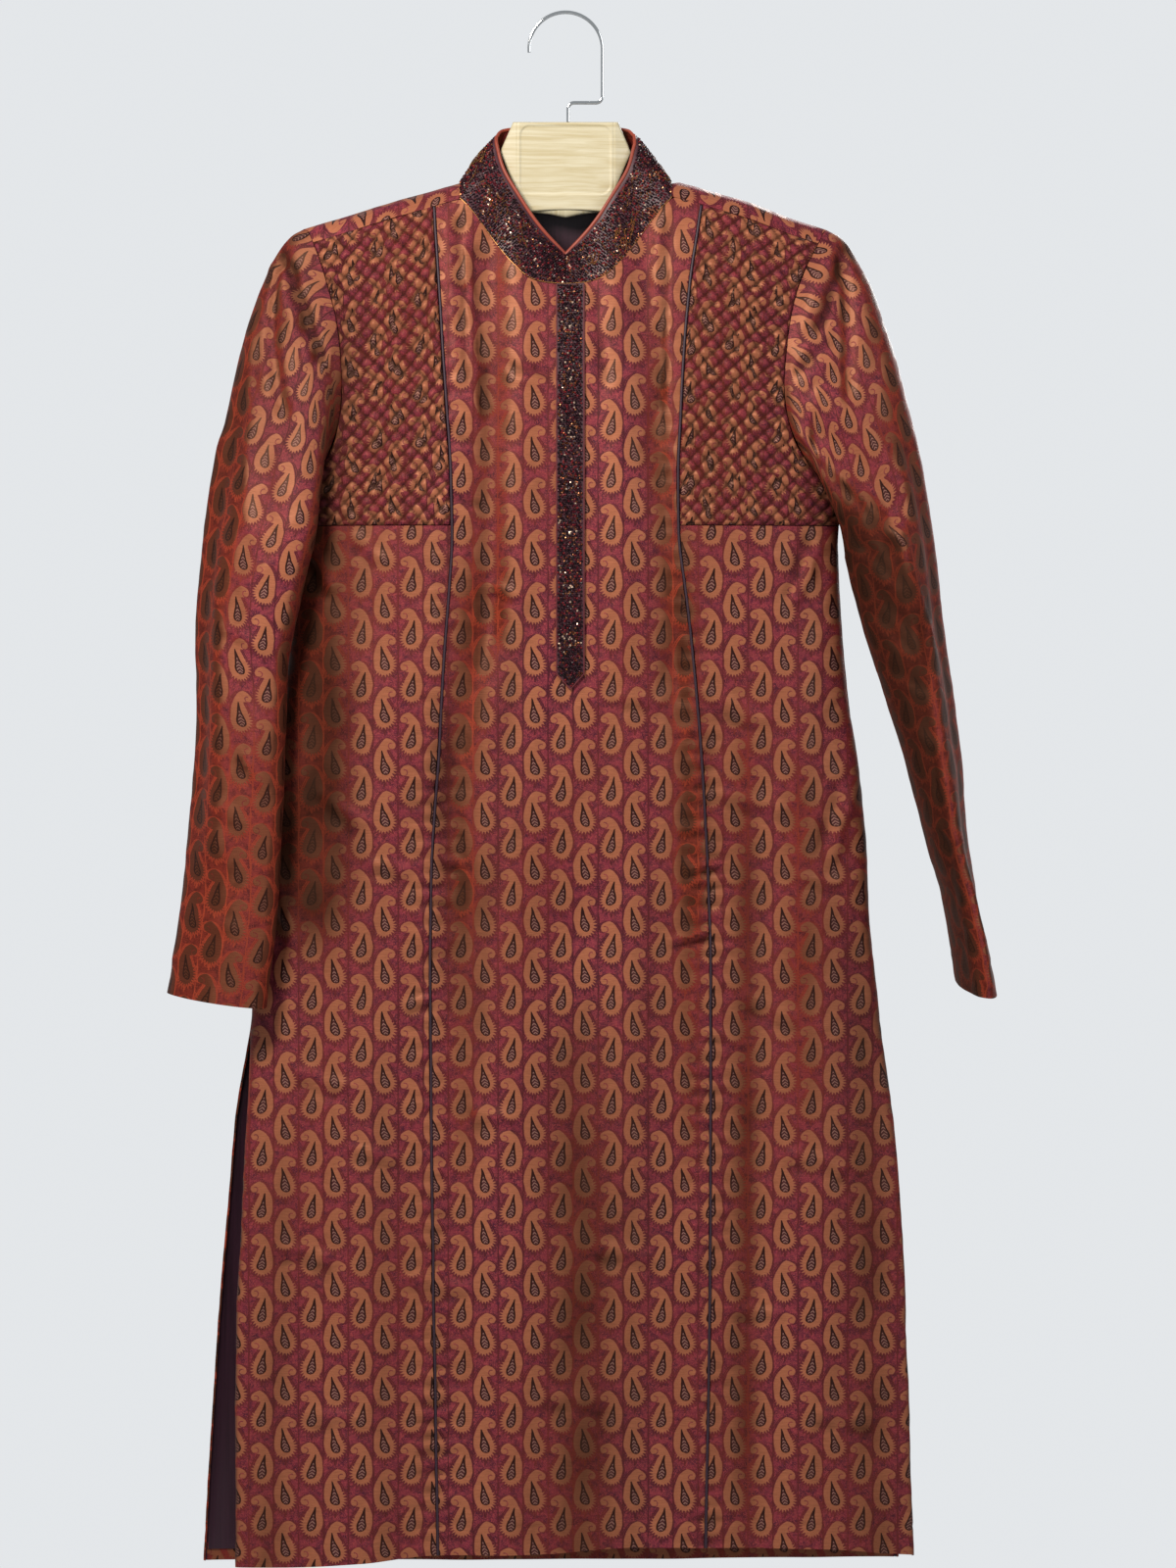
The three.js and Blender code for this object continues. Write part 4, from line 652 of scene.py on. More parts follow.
def boteh_curl(tree, x, y):
    """1 on the thin ring inside the curled tip, which is open on one side."""
    curl = add(tree, "ShaderNodeCombineXYZ", {0: x, 1: y})
    curl = add(tree, VECTOR, {0: curl, 1: (*CURL, 0)}, operation="SUBTRACT")
    ring = add(tree, VECTOR, {0: curl}, operation="LENGTH").outputs["Value"]
    ring = add(tree, MATH, {0: ring, 1: CURL_RADIUS, 2: CURL_LINE}, operation="COMPARE")
    open_side = add(tree, "ShaderNodeSeparateXYZ", {0: curl})
    open_side = add(tree, MATH, {0: open_side.outputs[0], 1: -1.0}, operation="GREATER_THAN")
    return add(tree, MATH, {0: ring, 1: open_side}, operation="MULTIPLY")


def boteh_drop(tree, x, y, share):
    """More than 0 inside the slender drop, and the chevrons of the leaf that fills it."""
    middle = add(tree, MATH, {0: y, 1: 0.19, 2: 1.7}, operation="MULTIPLY_ADD")
    off = add(tree, MATH, {0: x, 1: middle}, operation="SUBTRACT")
    off = add(tree, MATH, {0: off}, operation="ABSOLUTE")
    drop = add(tree, MATH, {0: edge_curve(tree, share, DROP_WIDTH), 1: off}, operation="SUBTRACT")
    chevron = add(tree, MATH, {0: off, 1: 0.8, 2: y}, operation="MULTIPLY_ADD")
    chevron = add(tree, MATH, {0: chevron, 1: CHEVRONS_PER_MM}, operation="MULTIPLY")
    return drop, add(tree, MATH, {0: chevron, 1: 1.0}, operation="PINGPONG")


# %% The ground between the figures
HALO_DISTANCE, HALO_LINE = 2.5, 0.55


def boteh_ground(tree, flat, x, figure, slub):
    """1 on the fine irregular vine, and 1 on the dark borders between columns and round each figure."""
    vine = add(tree, NOISE, {"Vector": flat, "Scale": 0.42, "Detail": 2.0, "Distortion": 1.6},
               noise_dimensions="2D")
    vine = add(tree, MATH, {0: vine, 1: 0.5, 2: 0.045}, operation="COMPARE")
    from_middle = add(tree, MATH, {0: x}, operation="ABSOLUTE")
    sway_x = add(tree, MATH, {0: slub, 1: 1.4, 2: COLUMN / 2 - 1.3}, operation="MULTIPLY_ADD")
    border = add(tree, MATH, {0: from_middle, 1: sway_x}, operation="GREATER_THAN")
    halo = add(tree, MATH, {0: figure, 1: -HALO_DISTANCE, 2: HALO_LINE}, operation="COMPARE")
    return vine, add(tree, MATH, {0: border, 1: halo}, operation="MAXIMUM")


# %% The boteh as a node group
def boteh_group():
    tree = bpy.data.node_groups.new("woven_boteh", "ShaderNodeTree")
    for name in ("figure", "outline", "drop", "drop_line", "leaf", "vine", "border"):
        tree.interface.new_socket(name, in_out="OUTPUT", socket_type="NodeSocketFloat")
    flat = add(tree, UV, uv_map=CLOTH_MAP)
    x, y, share, slub = place_in_repeat(tree, flat)
    figure = boteh_figure(tree, x, y, share)
    ring = boteh_curl(tree, x, y)
    drop, chevron = boteh_drop(tree, x, y, share)
    vine, border = boteh_ground(tree, flat, x, figure, slub)
    result = add(tree, "NodeGroupOutput")
    ranges = {"figure": (figure, -0.3, 0.3), "drop": (drop, -0.2, 0.3), "leaf": (chevron, 0.5, 0.8)}
    for name, (value, low, high) in ranges.items():
        soft = add(tree, RANGE, {"Value": value, "From Min": low, "From Max": high})
        if name == "figure":
            soft = add(tree, MATH, {0: ring, 1: -0.85, 2: soft}, operation="MULTIPLY_ADD", use_clamp=True)
        if name == "leaf":
            within = add(tree, MATH, {0: drop, 1: 1.3}, operation="GREATER_THAN")
            soft = add(tree, MATH, {0: soft.outputs[0], 1: within}, operation="MULTIPLY")
        tree.links.new(soft.outputs[0], result.inputs[name])
    outline = add(tree, MATH, {0: figure, 1: -1.0, 2: 0.55}, operation="COMPARE")
    line = add(tree, MATH, {0: drop, 1: 0.55, 2: 0.7}, operation="COMPARE")
    tree.links.new(outline.outputs[0], result.inputs["outline"])
    tree.links.new(line.outputs[0], result.inputs["drop_line"])
    tree.links.new(vine.outputs[0], result.inputs["vine"])
    tree.links.new(border.outputs[0], result.inputs["border"])
    print("boteh:", len(tree.nodes), "nodes")
    return tree


BOTEH = boteh_group()

# %% [markdown]
# ## Shot-silk jacquard
# The ground is shot: its warp is plum and its weft is orange-red, so the cloth looks plum where it faces
# you and red-brown where it turns away. The figure is a copper-coloured weft that lies on top in long
# floats, so it is smoother and a little raised, and the eye sees it shine over a duller ground. Here that
# change with the angle is painted: where the cloth turns away is worked out from its form as seen from the
# front, and is kept as a number on each point, so the colour stays put when the view changes. The two
# palettes are the same cloth seen from its warp side and from its weft side. The turned one is also darker,
# so it paints shade where the cloth faces away, and a second number on each point is painted shade.

# %% Jacquard
FACING = {"ground": "#6C2338", "ground_deep": "#3E112C", "figure": "#9C5E44", "line": "#30081C",
          "vine": "#9A4044", "drop": "#3E1C24", "drop_line": "#19080E", "leaf": "#8E6A60"}
TURNED_SHADED = {"ground": "#641C15", "ground_deep": "#440F0D", "figure": "#4C2316", "line": "#8E3420",
          "vine": "#70251A", "drop": "#2C120B", "drop_line": "#1E0A08", "leaf": "#4E2818"}
FLOAT_ROUGHNESS, GROUND_ROUGHNESS = 0.42, 0.56
SHADE_ROUGHNESS = 0.3  # the crumpled cloth of a deep fold scatters more
WEFT_MM = 0.9  # drawn coarser than the real 0.3 mm weft, which would be too fine to show
SHADE_DARKENS = 0.72  # how much of the light a full tone takes away
MASKS = [
    ("vine", "vine", 0.75), ("border", "line", 0.85), ("outline", "line", 0.9), ("figure", "figure", 1.0),
    ("drop", "drop", 1.0), ("leaf", "leaf", 1.0), ("drop_line", "drop_line", 1.0),
]


def blend_colours(tree, factor, a, b):
    return add(tree, MIX, {MIX_FACTOR: factor, MIX_A: a, MIX_B: b}, data_type="RGBA").outputs[MIX_RESULT]


def dyed(tree, woven, cloud, dye):
    """The woven parts laid over each other in the colours of one palette."""
    colour = blend_colours(tree, cloud, linear(dye["ground"]), linear(dye["ground_deep"]))
    for mask, shade, amount in MASKS:
        strength = add(tree, MATH, {0: woven.outputs[mask], 1: amount}, operation="MULTIPLY")
        colour = blend_colours(tree, strength, colour, linear(dye[shade]))
    return colour


# %% The jacquard's network
def jacquard(name):
    material, tree, shader = new_material(name)
    woven = add(tree, "ShaderNodeGroup", node_tree=BOTEH)
    turn = add(tree, NUMBER, attribute_name=TURN).outputs["Fac"]
    painted_shade = add(tree, NUMBER, attribute_name=PAINTED_SHADE).outputs["Fac"]
    flat = add(tree, UV, uv_map=CLOTH_MAP)
    cloud = add(tree, NOISE, {"Vector": flat, "Scale": 0.16, "Detail": 3.0}, noise_dimensions="2D")
    cloud = add(tree, RANGE, {"Value": cloud, "From Min": 0.38, "From Max": 0.64})
    palettes = [dyed(tree, woven, cloud, dye) for dye in (FACING, TURNED_SHADED)]
    colour = blend_colours(tree, turn, *palettes)
    stretch = add(tree, VECTOR, {0: flat, 1: (0.12, 1 / WEFT_MM, 1)}, operation="MULTIPLY")
    weft = add(tree, NOISE, {"Vector": stretch, "Scale": 1.0, "Detail": 2.0}, noise_dimensions="2D")
    shade = add(tree, RANGE, {"Value": weft, "To Min": 0.72, "To Max": 1.28})
    # Painted shade: the painted shade number takes light out of the colour; the weft streaks are the weave's
    # own.
    light = add(tree, MATH, {0: painted_shade, 1: -SHADE_DARKENS, 2: 1.0}, operation="MULTIPLY_ADD", use_clamp=True)
    light = add(tree, MATH, {0: light, 1: shade}, operation="MULTIPLY")
    colour = add(tree, VECTOR, {0: colour, "Scale": light.outputs[0]}, operation="SCALE")
    rough = add(tree, RANGE,
                {"Value": woven.outputs["figure"], "To Min": GROUND_ROUGHNESS, "To Max": FLOAT_ROUGHNESS})
    rough = add(tree, MATH, {0: painted_shade, 1: SHADE_ROUGHNESS, 2: rough}, operation="MULTIPLY_ADD", use_clamp=True)
    height = add(tree, MATH, {0: woven.outputs["figure"], 1: 0.7, 2: weft}, operation="MULTIPLY_ADD")
    bump = add(tree, "ShaderNodeBump", {"Height": height, "Strength": 0.35, "Distance": 0.25 * MM})
    for socket, value in (("Base Color", colour), ("Roughness", rough), ("Normal", bump)):
        tree.links.new(value.outputs[0], shader.inputs[socket])
    shader.inputs["Sheen Weight"].default_value = 0.06
    shader.inputs["Sheen Roughness"].default_value = 0.4
    shader.inputs["Sheen Tint"].default_value = linear("#D08068")
    shader.inputs["Specular Tint"].default_value = linear("#F0B090")
    return material


SILK = jacquard("shot_silk_jacquard")
print("jacquard:", len(SILK.node_tree.nodes), "nodes")

# %% [markdown]
# ## Lining, cord and bead cloth
# Satin is woven with long warp floats, so it is smooth and takes long soft highlights, and its uneven warp
# threads show as fine streaks. The lining is plain plum satin. The piping is a cord covered in dark purple
# satin cut on the bias, so it reads as one dark line. Under the beads lies a plum satin that hardly shows,
# and the collar's edge is bound in an orange-red silk that catches the light as a thin bright rim.

# %% Plain satins
def satin(name, colour, deep, rough, streak_mm):
    """Smooth warp-faced satin; its streaks are uneven warp threads."""
    material, tree, shader = new_material(name)
    flat = add(tree, UV, uv_map=CLOTH_MAP)
    stretch = add(tree, VECTOR, {0: flat, 1: (1 / streak_mm, 0.01, 1)}, operation="MULTIPLY")
    streak = add(tree, NOISE, {"Vector": stretch, "Scale": 1.0, "Detail": 3.0},
                 noise_dimensions="2D")
    bump = add(tree, "ShaderNodeBump", {"Height": streak, "Strength": 0.2, "Distance": 0.2 * MM})
    tree.links.new(blend_colours(tree, streak, linear(deep), linear(colour)), shader.inputs["Base Color"])
    tree.links.new(bump.outputs[0], shader.inputs["Normal"])
    shader.inputs["Roughness"].default_value = rough
    shader.inputs["Sheen Weight"].default_value = 0.04
    return material


LINING = satin("plum_satin_lining", "#3E2230", "#20101A", 0.38, 2.0)
CORD = satin("bias_satin_cord", "#34152A", "#1A0A16", 0.52, 0.8)
BEAD_CLOTH = satin("bead_ground_satin", "#4A1626", "#260B16", 0.5, 1.0)
SELF_EDGE = satin("silk_binding", "#A04630", "#742818", 0.5, 1.4)
print("satins:", ", ".join(satin.name for satin in (LINING, CORD, BEAD_CLOTH, SELF_EDGE)))

# %% [markdown]
# ## Where the cloth turns away, and where shade is painted
# Two numbers on each point drive the jacquard. The turn, from the warp's plum to the weft's red-brown,
# comes from the point's normal, a soft patchiness, and a table of bands where a fold shows its weft side; it
# paints the shot colour for the front view, and some of its bands paint shade. The painted shade, which
# darkens the colour, comes from a table of long soft bands that lie deeper or face away from the light, and
# from the hollows of the creases.

# %% Turn and painted shade
FRONT_SHADE_BANDS = [  # x0, z0, x1, z1, width, depth of the shade
    (10, -880, 20, -1275, 26, 0.7), (-98, -620, -92, -760, 13, 0.6), (150, -710, 146, -1190, 10, 0.6),
    (240, -790, 256, -1275, 16, 0.7), (-95, -430, -100, -640, 10, 0.5), (96, -450, 112, -640, 9, 0.5),
    (-217, -425, -209, -690, 31, 1.7), (-232, -1000, -244, -1275, 12, 0.45), (-46, -560, -70, -800, 9, 0.4),
    (66, -740, 56, -1275, 14, 0.35), (-62, -250, -64, -470, 7, 0.35), (66, -250, 84, -500, 7, 0.35),
    (-150, -900, -146, -1275, 12, 0.3),
]
# Painted turn: these give fold flanks and valleys the darker turned colour, and the band at x -214 paints the
# shadow under the left sleeve.
FRONT_TURNS = [  # the same columns: bands where the cloth is seen from its weft side
    (-66, -330, -74, -500, 9, 0.65), (-79, -500, -84, -700, 14, 0.7), (-84, -700, -84, -900, 12, 0.35),
    (74, -330, 92, -500, 11, 0.75), (94, -500, 104, -690, 12, 0.9), (100, -700, 102, -880, 11, 0.45),
    (192, -660, 198, -860, 15, 0.45), (146, -640, 148, -1190, 8, 0.5), (-214, -425, -208, -690, 28, 1.2),
    (10, -880, 18, -1275, 20, 0.35),
]
# Painted shade in the long folds and at the sides of the back.
BACK_SHADE_BANDS = [
    (-90, -420, -84, -1275, 18, 0.4), (92, -400, 90, -1275, 18, 0.4), (-216, -600, -236, -1275, 16, 0.4),
    (210, -560, 220, -1275, 16, 0.4),
]


def turned_away(normals, base=0.0, leftward=1.0):
    """0 facing the front or the back, towards 1 facing sideways; leftward paints the lit left side brighter.
    """
    sideways = np.abs(normals[..., 0]) * np.where(normals[..., 0] < 0, leftward, 1)
    return np.clip(base + 1.25 * smooth(0.22, 0.75, sideways), 0, 1)


# Soft bands from a table of lines: painted shade, or the painted turn.
def painted_bands(rows, x, z):
    painted_shade = np.clip(fold_rise(rows, x, z, 60), 0, 1)
    return np.clip(painted_shade * (0.8 + 0.3 * uneven(x, z, 60, 11)), 0, 1)


def patchy(x, z):
    """The shot ground flickers between its two colours in soft patches."""
    return 0.16 + 0.16 * uneven(x, z * 0.5, 75, 13)


print("shaded bands:", len(FRONT_SHADE_BANDS), "in front,", len(BACK_SHADE_BANDS), "behind")

# %% [markdown]
# ## The front
# The middle panel runs from the neck to the hem between the two piped seams. The side panels start below
# the quilting. All are grids whose columns follow the seams, so the cloth ends exactly where it is sewn,
# and the woven columns stay upright from neck to hem as they do on a panel cut along the warp.

# %% A panel of the front
STEP = 3.0  # the side of a grid cell
PIPING_CLEAR = PIPING_HALF + SEAM
MIDDLE_WIDTH, SIDE_WIDTH, SIDE_LENGTH = 212.0, 160.0, 850.0
CREASE_SHADE = 0.55


def steps(length, step=STEP):
    """Shares from 0 to 1 that cut a length into steps."""
    return np.linspace(0, 1, max(2, int(round(length / step)) + 1))


def front_cloth(name, x, z, turn_base=0.0):
    """A panel of the front: x and z are the grids of its places."""
    rise = front_detail(x, z)
    outer = body_point(x, z, FRONT, rise)
    inner = outer - body_normal(x, z, FRONT) * CLOTH
    # The turn and the shade are painted: the shade darkens the listed bands and the hollows of the creases.
    turn = turned_away(grid_normals(outer), turn_base, leftward=0.55) + patchy(x, z)
    turn = turn + painted_bands(FRONT_TURNS, x, z)
    painted_shade = painted_bands(FRONT_SHADE_BANDS, x, z) + CREASE_SHADE * smooth(0.2, 1.5, -rise)
    return cloth_mesh(name, outer, inner, np.stack([x, z], -1), (SILK, LINING), turn=np.clip(turn, 0, 1),
                      painted_shade=np.clip(painted_shade, 0, 1))


def forward_seam_z(x):
    """The seam where the back, which comes over the shoulder, meets the front."""
    return ridge_z(x) - FORWARD_SEAM_DROP - SEAM


# %% The middle panel
def front_centre():
    hem_z = along(HEM_FRONT, "x", "z", 0)
    shares_down = steps(NECK_FRONT["z"][0] - hem_z)
    shares = steps(MIDDLE_WIDTH)
    top_left, top_right = piping_x(-1, -160) + PIPING_CLEAR, piping_x(1, -160) - PIPING_CLEAR
    half = list(zip(NECK_FRONT["x"], NECK_FRONT["z"]))
    shoulders = [(x, forward_seam_z(x)) for x in (-130, 130)]
    neck = columns("x z", *half, *[(-x, z) for x, z in half[1:]], *shoulders)
    top_x = mix(top_left, top_right, shares)
    top_z = np.where(np.abs(top_x) < NECK_HALF, along(neck, "x", "z", top_x), forward_seam_z(top_x))
    bottom_z = along(HEM_FRONT, "x", "z", mix(piping_x(-1, -1270), piping_x(1, -1270), shares))
    z = mix(top_z[None, :], bottom_z[None, :], shares_down[:, None])
    x = mix(piping_x(-1, z) + PIPING_CLEAR, piping_x(1, z) - PIPING_CLEAR, shares[None, :])
    return front_cloth("front_middle", x, z)


middle = front_centre()
dress(middle, "front_centre")

# %% The side panels
def front_side(side):
    top_z = QUILT_BOTTOM_Z - 1.5 * SEAM
    shares, shares_down = steps(SIDE_WIDTH), steps(SIDE_LENGTH)
    hem_z = along(HEM_FRONT, "x", "z", side * mix(105, 270, shares))
    z = mix(top_z, hem_z[None, :], shares_down[:, None])
    width = half_width(side, z, FRONT)
    start = around_from_x(np.abs(piping_x(side, z)) + PIPING_CLEAR, width)
    x = side * x_from_around(mix(start, math.pi / 2, shares[None, :]), width)
    word = "left" if side < 0 else "right"
    return front_cloth(f"front_side_{word}_cloth", x, z, turn_base=0.05)


for side, word in ((-1, "left"), (1, "right")):
    dress(front_side(side), f"front_side_{word}")

# %% [markdown]
# ## The quilted chest panels
# Quilting is two layers of cloth with wadding between, sewn through along a lattice of slanted lines.
# Between four lines the wadding pushes the cloth up into a small pillow, and the stitches pull it down into
# grooves. The height of a pillow is the product of two sines, one for each set of lines, with its top made
# flatter by a root. No two pillows are alike, so each takes its own small shift of the pattern from a
# number made out of its place in the lattice. The cloth is drawn in by the quilting, so the pattern on it
# is a little smaller.

# %% Quilting
QUILT_HALF_PITCH = 6.0
QUILT_ROWS = 39
QUILT_PUFF = 3.1
QUILT_WALL = 1.8
QUILT_STEP = 1.55
QUILT_WIDTH, QUILT_LENGTH = 132.0, 262.0
QUILT_EDGE = 2.5  # the pillows flatten over this distance towards a seam
QUILT_DRAWN_IN = 1.12
ROUNDS = 30  # x and z depend on each other, and this many rounds settle them
SHADE_UNDER_SLEEVE = [(-196, -290, -208, -425, 23, 1.5), (208, -360, 222, -425, 14, 0.9)]


def quilt_places(side):
    """The grids of x and z between the piping and the armhole, and each row's number in the lattice."""
    shares_down, shares = steps(QUILT_LENGTH, QUILT_STEP), steps(QUILT_WIDTH, QUILT_STEP)
    row = shares_down[:, None] * QUILT_ROWS
    x = np.full((len(shares_down), len(shares)), 150.0 * side)
    for _ in range(ROUNDS):
        z = mix(forward_seam_z(x), QUILT_BOTTOM_Z + SEAM / 2, row / QUILT_ROWS)
        start = np.abs(piping_x(side, z)) + PIPING_CLEAR + SEAM / 2
        armhole = np.where(z > UNDERARM_Z, armhole_x(side, z, FRONT), half_width(side, z, FRONT))
        x = mix(x, side * mix(start, armhole, shares[None, :]), 0.6)
    return x, z, row, shares


# %% A quilted panel
def quilted_chest(side):
    x, z, row, shares = quilt_places(side)
    a = (np.abs(x) / QUILT_HALF_PITCH + row) * math.pi / 2
    b = (np.abs(x) / QUILT_HALF_PITCH - row) * math.pi / 2
    pillow = np.abs(np.sin(a) * np.sin(b))
    height = QUILT_PUFF * pillow**0.62 * (0.85 + 0.15 * uneven(x, z, 14, side + 6))
    height += 0.35 * uneven(x, z, 5, side + 9) * smooth(0.05, 0.4, pillow)
    edge = np.minimum(shares, 1 - shares)[None, :] * QUILT_WIDTH
    end = np.minimum(row, QUILT_ROWS - row) * 6.7
    height = height * smooth(0, QUILT_EDGE, edge) * smooth(0, QUILT_EDGE, end)
    outer = body_point(x, z, FRONT, height)
    inner = body_point(x, z, FRONT, -QUILT_WALL)
    # The grooves get painted shade and a redder turn on top of their real depth, and the bands under the
    # sleeves are painted shadow; pick gives each pillow a small random step of colour of its own.
    groove = 1 - smooth(0.03, 0.42, pillow)
    across, along_row = np.floor(a / math.pi), np.floor(b / math.pi)
    pick = np.mod(np.sin(across * 12.9898 + along_row * 78.233) * 43758.5453, 1.0)
    painted_shade = np.clip(1.05 * groove + 0.06 * pick + painted_bands(SHADE_UNDER_SLEEVE, x, z), 0, 1)
    turn = turned_away(grid_normals(body_point(x, z, FRONT)), 0.05, leftward=0.6) + patchy(x, z)
    turn = np.clip(turn + 0.25 * groove, 0, 1)
    word = "left" if side < 0 else "right"
    shift = 3.2 * np.stack([np.sin(41 * pick), np.cos(57 * pick)], -1)
    flat = np.stack([x * QUILT_DRAWN_IN + 7, z * QUILT_DRAWN_IN + 9], -1) + shift
    return cloth_mesh(f"quilting_{word}", outer, inner, flat, (SILK, LINING), turn=turn, painted_shade=painted_shade)


for side, word in ((-1, "left"), (1, "right")):
    panel = quilted_chest(side)
    dress(panel, f"quilted_chest_{word}")

# %% [markdown]
# ## Piping
# Piping is a thin cord inside a folded bias strip, caught in the seam so that it stands out as a dark line
# from shoulder to hem. It is a small round section run down the seam.

# %% Piping
def lofted(name, rings, material):
    """A closed solid from rings of points in mm, with flat ends."""
    count, sides = rings.shape[:2]
    cells, _, _ = grid_cells(count, sides, around=True)
    faces = cells.tolist() + [list(range(sides))[::-1], list(range((count - 1) * sides, count * sides))]
    piece = new_piece(name, rings.reshape(-1, 3), faces, (material,))
    mesh = piece.data
    length, girth = lengths(rings.mean(1)), lengths(rings[count // 2])
    layer = mesh.uv_layers.new(name=CLOTH_MAP)
    vertex = np.empty(len(mesh.loops), np.int32)
    mesh.loops.foreach_get("vertex_index", vertex)
    layer.data.foreach_set("uv", np.stack([girth[vertex % sides], length[vertex // sides]], 1).ravel())
    work = bmesh.new()
    work.from_mesh(mesh)
    bmesh.ops.recalc_face_normals(work, faces=work.faces)
    work.to_mesh(mesh)
    work.free()
    shade_smooth(mesh)
    return piece


def tube(name, path, radius, material, sides=8, squash=1.0, normals=None):
    """A closed tube along a path in mm."""
    way = unit(np.gradient(path, axis=0))
    up = np.broadcast_to(np.array([0.0, -1.0, 0.0]), path.shape) if normals is None else normals
    across = unit(np.cross(way, up))
    up = unit(np.cross(across, way))
    angle = np.linspace(0, 2 * math.pi, sides, endpoint=False)
    ring = np.cos(angle)[:, None] * across[:, None] + squash * np.sin(angle)[:, None] * up[:, None]
    return lofted(name, path[:, None] + radius * ring, material)


# %% The two cords
PIPING_RADIUS, PIPING_OUT, PIPING_POINTS = 1.05, 0.45, 360

for side, word in ((-1, "left"), (1, "right")):
    top = float(ridge_z(piping_x(side, -156)) - FORWARD_SEAM_DROP - 1.5)
    z = np.linspace(top, float(along(HEM_FRONT, "x", "z", piping_x(side, -1270))), PIPING_POINTS)
    x = piping_x(side, z) + 0.35 * uneven(0, z, 40, side)
    route = body_point(x, z, FRONT, PIPING_OUT)
    cord = tube(f"piping_{word}_cord", route, PIPING_RADIUS, CORD, sides=10)
    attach(cord, "root")
    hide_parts(f"piping_{word}")
    print(f"piping {word}: {lengths(route)[-1]:.0f} mm long")

# %% [markdown]
# ## The back
# The back is one piece. It comes forward over the shoulder to a seam on the front, so its grid starts with
# a few rows on the front face, crosses the ridge, and runs down to the hem. The neck has no cloth in front
# of the ridge, so those cells are left out.

# %% The back's grid
FLAP_DROPS = np.linspace(FORWARD_SEAM_DROP - SEAM / 2, 3.0, 4)  # rows in front of the ridge, below it
BACK_STEP = 5.0
BACK_TOP_LENGTH, SKIRT_LENGTH, BACK_HALF = 250.0, 866.0, 140.0


def back_row_z(kind, share, x):
    """Heights of one row: in front of the ridge, from the ridge to the underarm, or below that."""
    if kind == "flap":
        return ridge_z(x) - share
    if kind == "skirt":
        return mix(UNDERARM_Z, along(HEM_BACK, "x", "z", x), share)
    top = np.where(np.abs(x) < NECK_HALF, along(NECK_BACK, "x", "z", np.abs(x)), ridge_z(x))
    return mix(top, UNDERARM_Z, share)


def back_row_end(kind, share, side):
    """Where a row ends at the armhole or the side seam."""
    x = 212.0
    for _ in range(ROUNDS):
        z = back_row_z(kind, share, side * x)
        face = FRONT if kind == "flap" else BACK
        edge = armhole_x(side, z, face) if z > UNDERARM_Z else half_width(side, z, BACK)
        x = mix(x, edge, 0.6)
    return float(x)


# %% Places and points of the back
def back_places(step=BACK_STEP):
    """The rows, the grids of x and z, and how many cells of a half row lie in the neck and beside it."""
    rows = [("flap", drop) for drop in FLAP_DROPS]
    rows += [("shoulder", share) for share in steps(BACK_TOP_LENGTH, step)]
    rows += [("skirt", share) for share in steps(SKIRT_LENGTH, step)[1:]]
    neck_cells, outer_cells = round(NECK_HALF / step), round(BACK_HALF / step)
    x, z = [], []
    for kind, share in rows:
        halves = []
        for side in (-1, 1):
            end = back_row_end(kind, share, side)
            width = float(half_width(side, back_row_z(kind, share, side * end), BACK))
            neck, edge = around_from_x(NECK_HALF, width), around_from_x(end, width)
            inner, outer = np.linspace(0, neck, neck_cells + 1), np.linspace(neck, edge, outer_cells + 1)
            halves.append(side * x_from_around(np.concatenate([inner, outer[1:]]), width))
        line = np.concatenate([halves[0][:0:-1], halves[1]])
        x.append(line)
        z.append(back_row_z(kind, share, line))
    return rows, np.array(x), np.array(z), neck_cells, outer_cells


def back_points(rows, x, z, out, detail=back_detail):
    """The points of the back, moved out square to it; the first rows lie on the front face."""
    flap = sum(kind == "flap" for kind, _ in rows)
    rise = detail(x, z) + out if detail else np.full(x.shape, float(out))
    return np.concatenate([body_point(x[:flap], z[:flap], FRONT, rise[:flap]),
                           body_point(x[flap:], z[flap:], BACK, rise[flap:])])


# %% The back panel
def back_length(rows, x, z):
    """The weave runs along the cloth, so it is measured over the shoulder, from the underarm line."""
    plain = back_points(rows, x, z, 0.0, None)
    down = np.linalg.norm(np.diff(plain, axis=0), axis=2).cumsum(0)
    down = np.concatenate([np.zeros((1, x.shape[1])), down])
    underarm_row = sum(kind != "skirt" for kind, _ in rows) - 1
    return UNDERARM_Z + down[underarm_row] - down


def back():
    rows, x, z, neck_cells, outer_cells = back_places()
    keep = np.ones((len(rows) - 1, x.shape[1] - 1), bool)
    keep[:len(FLAP_DROPS), outer_cells:outer_cells + 2 * neck_cells] = False
    outer, inner = back_points(rows, x, z, 0.0), back_points(rows, x, z, -CLOTH)
    turn = np.clip(turned_away(grid_normals(outer)) + patchy(x, z), 0, 1)
    flat = np.stack([x, back_length(rows, x, z)], -1)
    # Painted shade in the back's folds.
    painted_shade = painted_bands(BACK_SHADE_BANDS, x, z)
    return cloth_mesh("back_cloth", outer, inner, flat, (SILK, LINING), keep=keep, turn=turn, painted_shade=painted_shade)


dress(back(), "back")

# %% [markdown]
# ## Lining and hem
# The lining is seen in the neck opening and where the back shows past the front at the side slit. It is a
# sheet of its own that hangs just inside the back. At the hem the silk is turned up inside, so a narrow
# strip of the pattern shows below the lining.

# %% Lining and turned-up hem
LINING_WALL = 1.0
LINING_STEP = 9.0
LINING_INSET = 3.0  # the lining is this much narrower than the back, each side
FACING_TOP = 14.6  # height of the turned-up strip
FACING_LEFT, FACING_RIGHT, FACING_POINTS = -295.5, 270.6, 120


def loose(x, z):
    """The lining hangs free, so it has soft waves of its own."""
    return 0.5 * uneven(x, z * 0.4, 40, 21) - 0.2


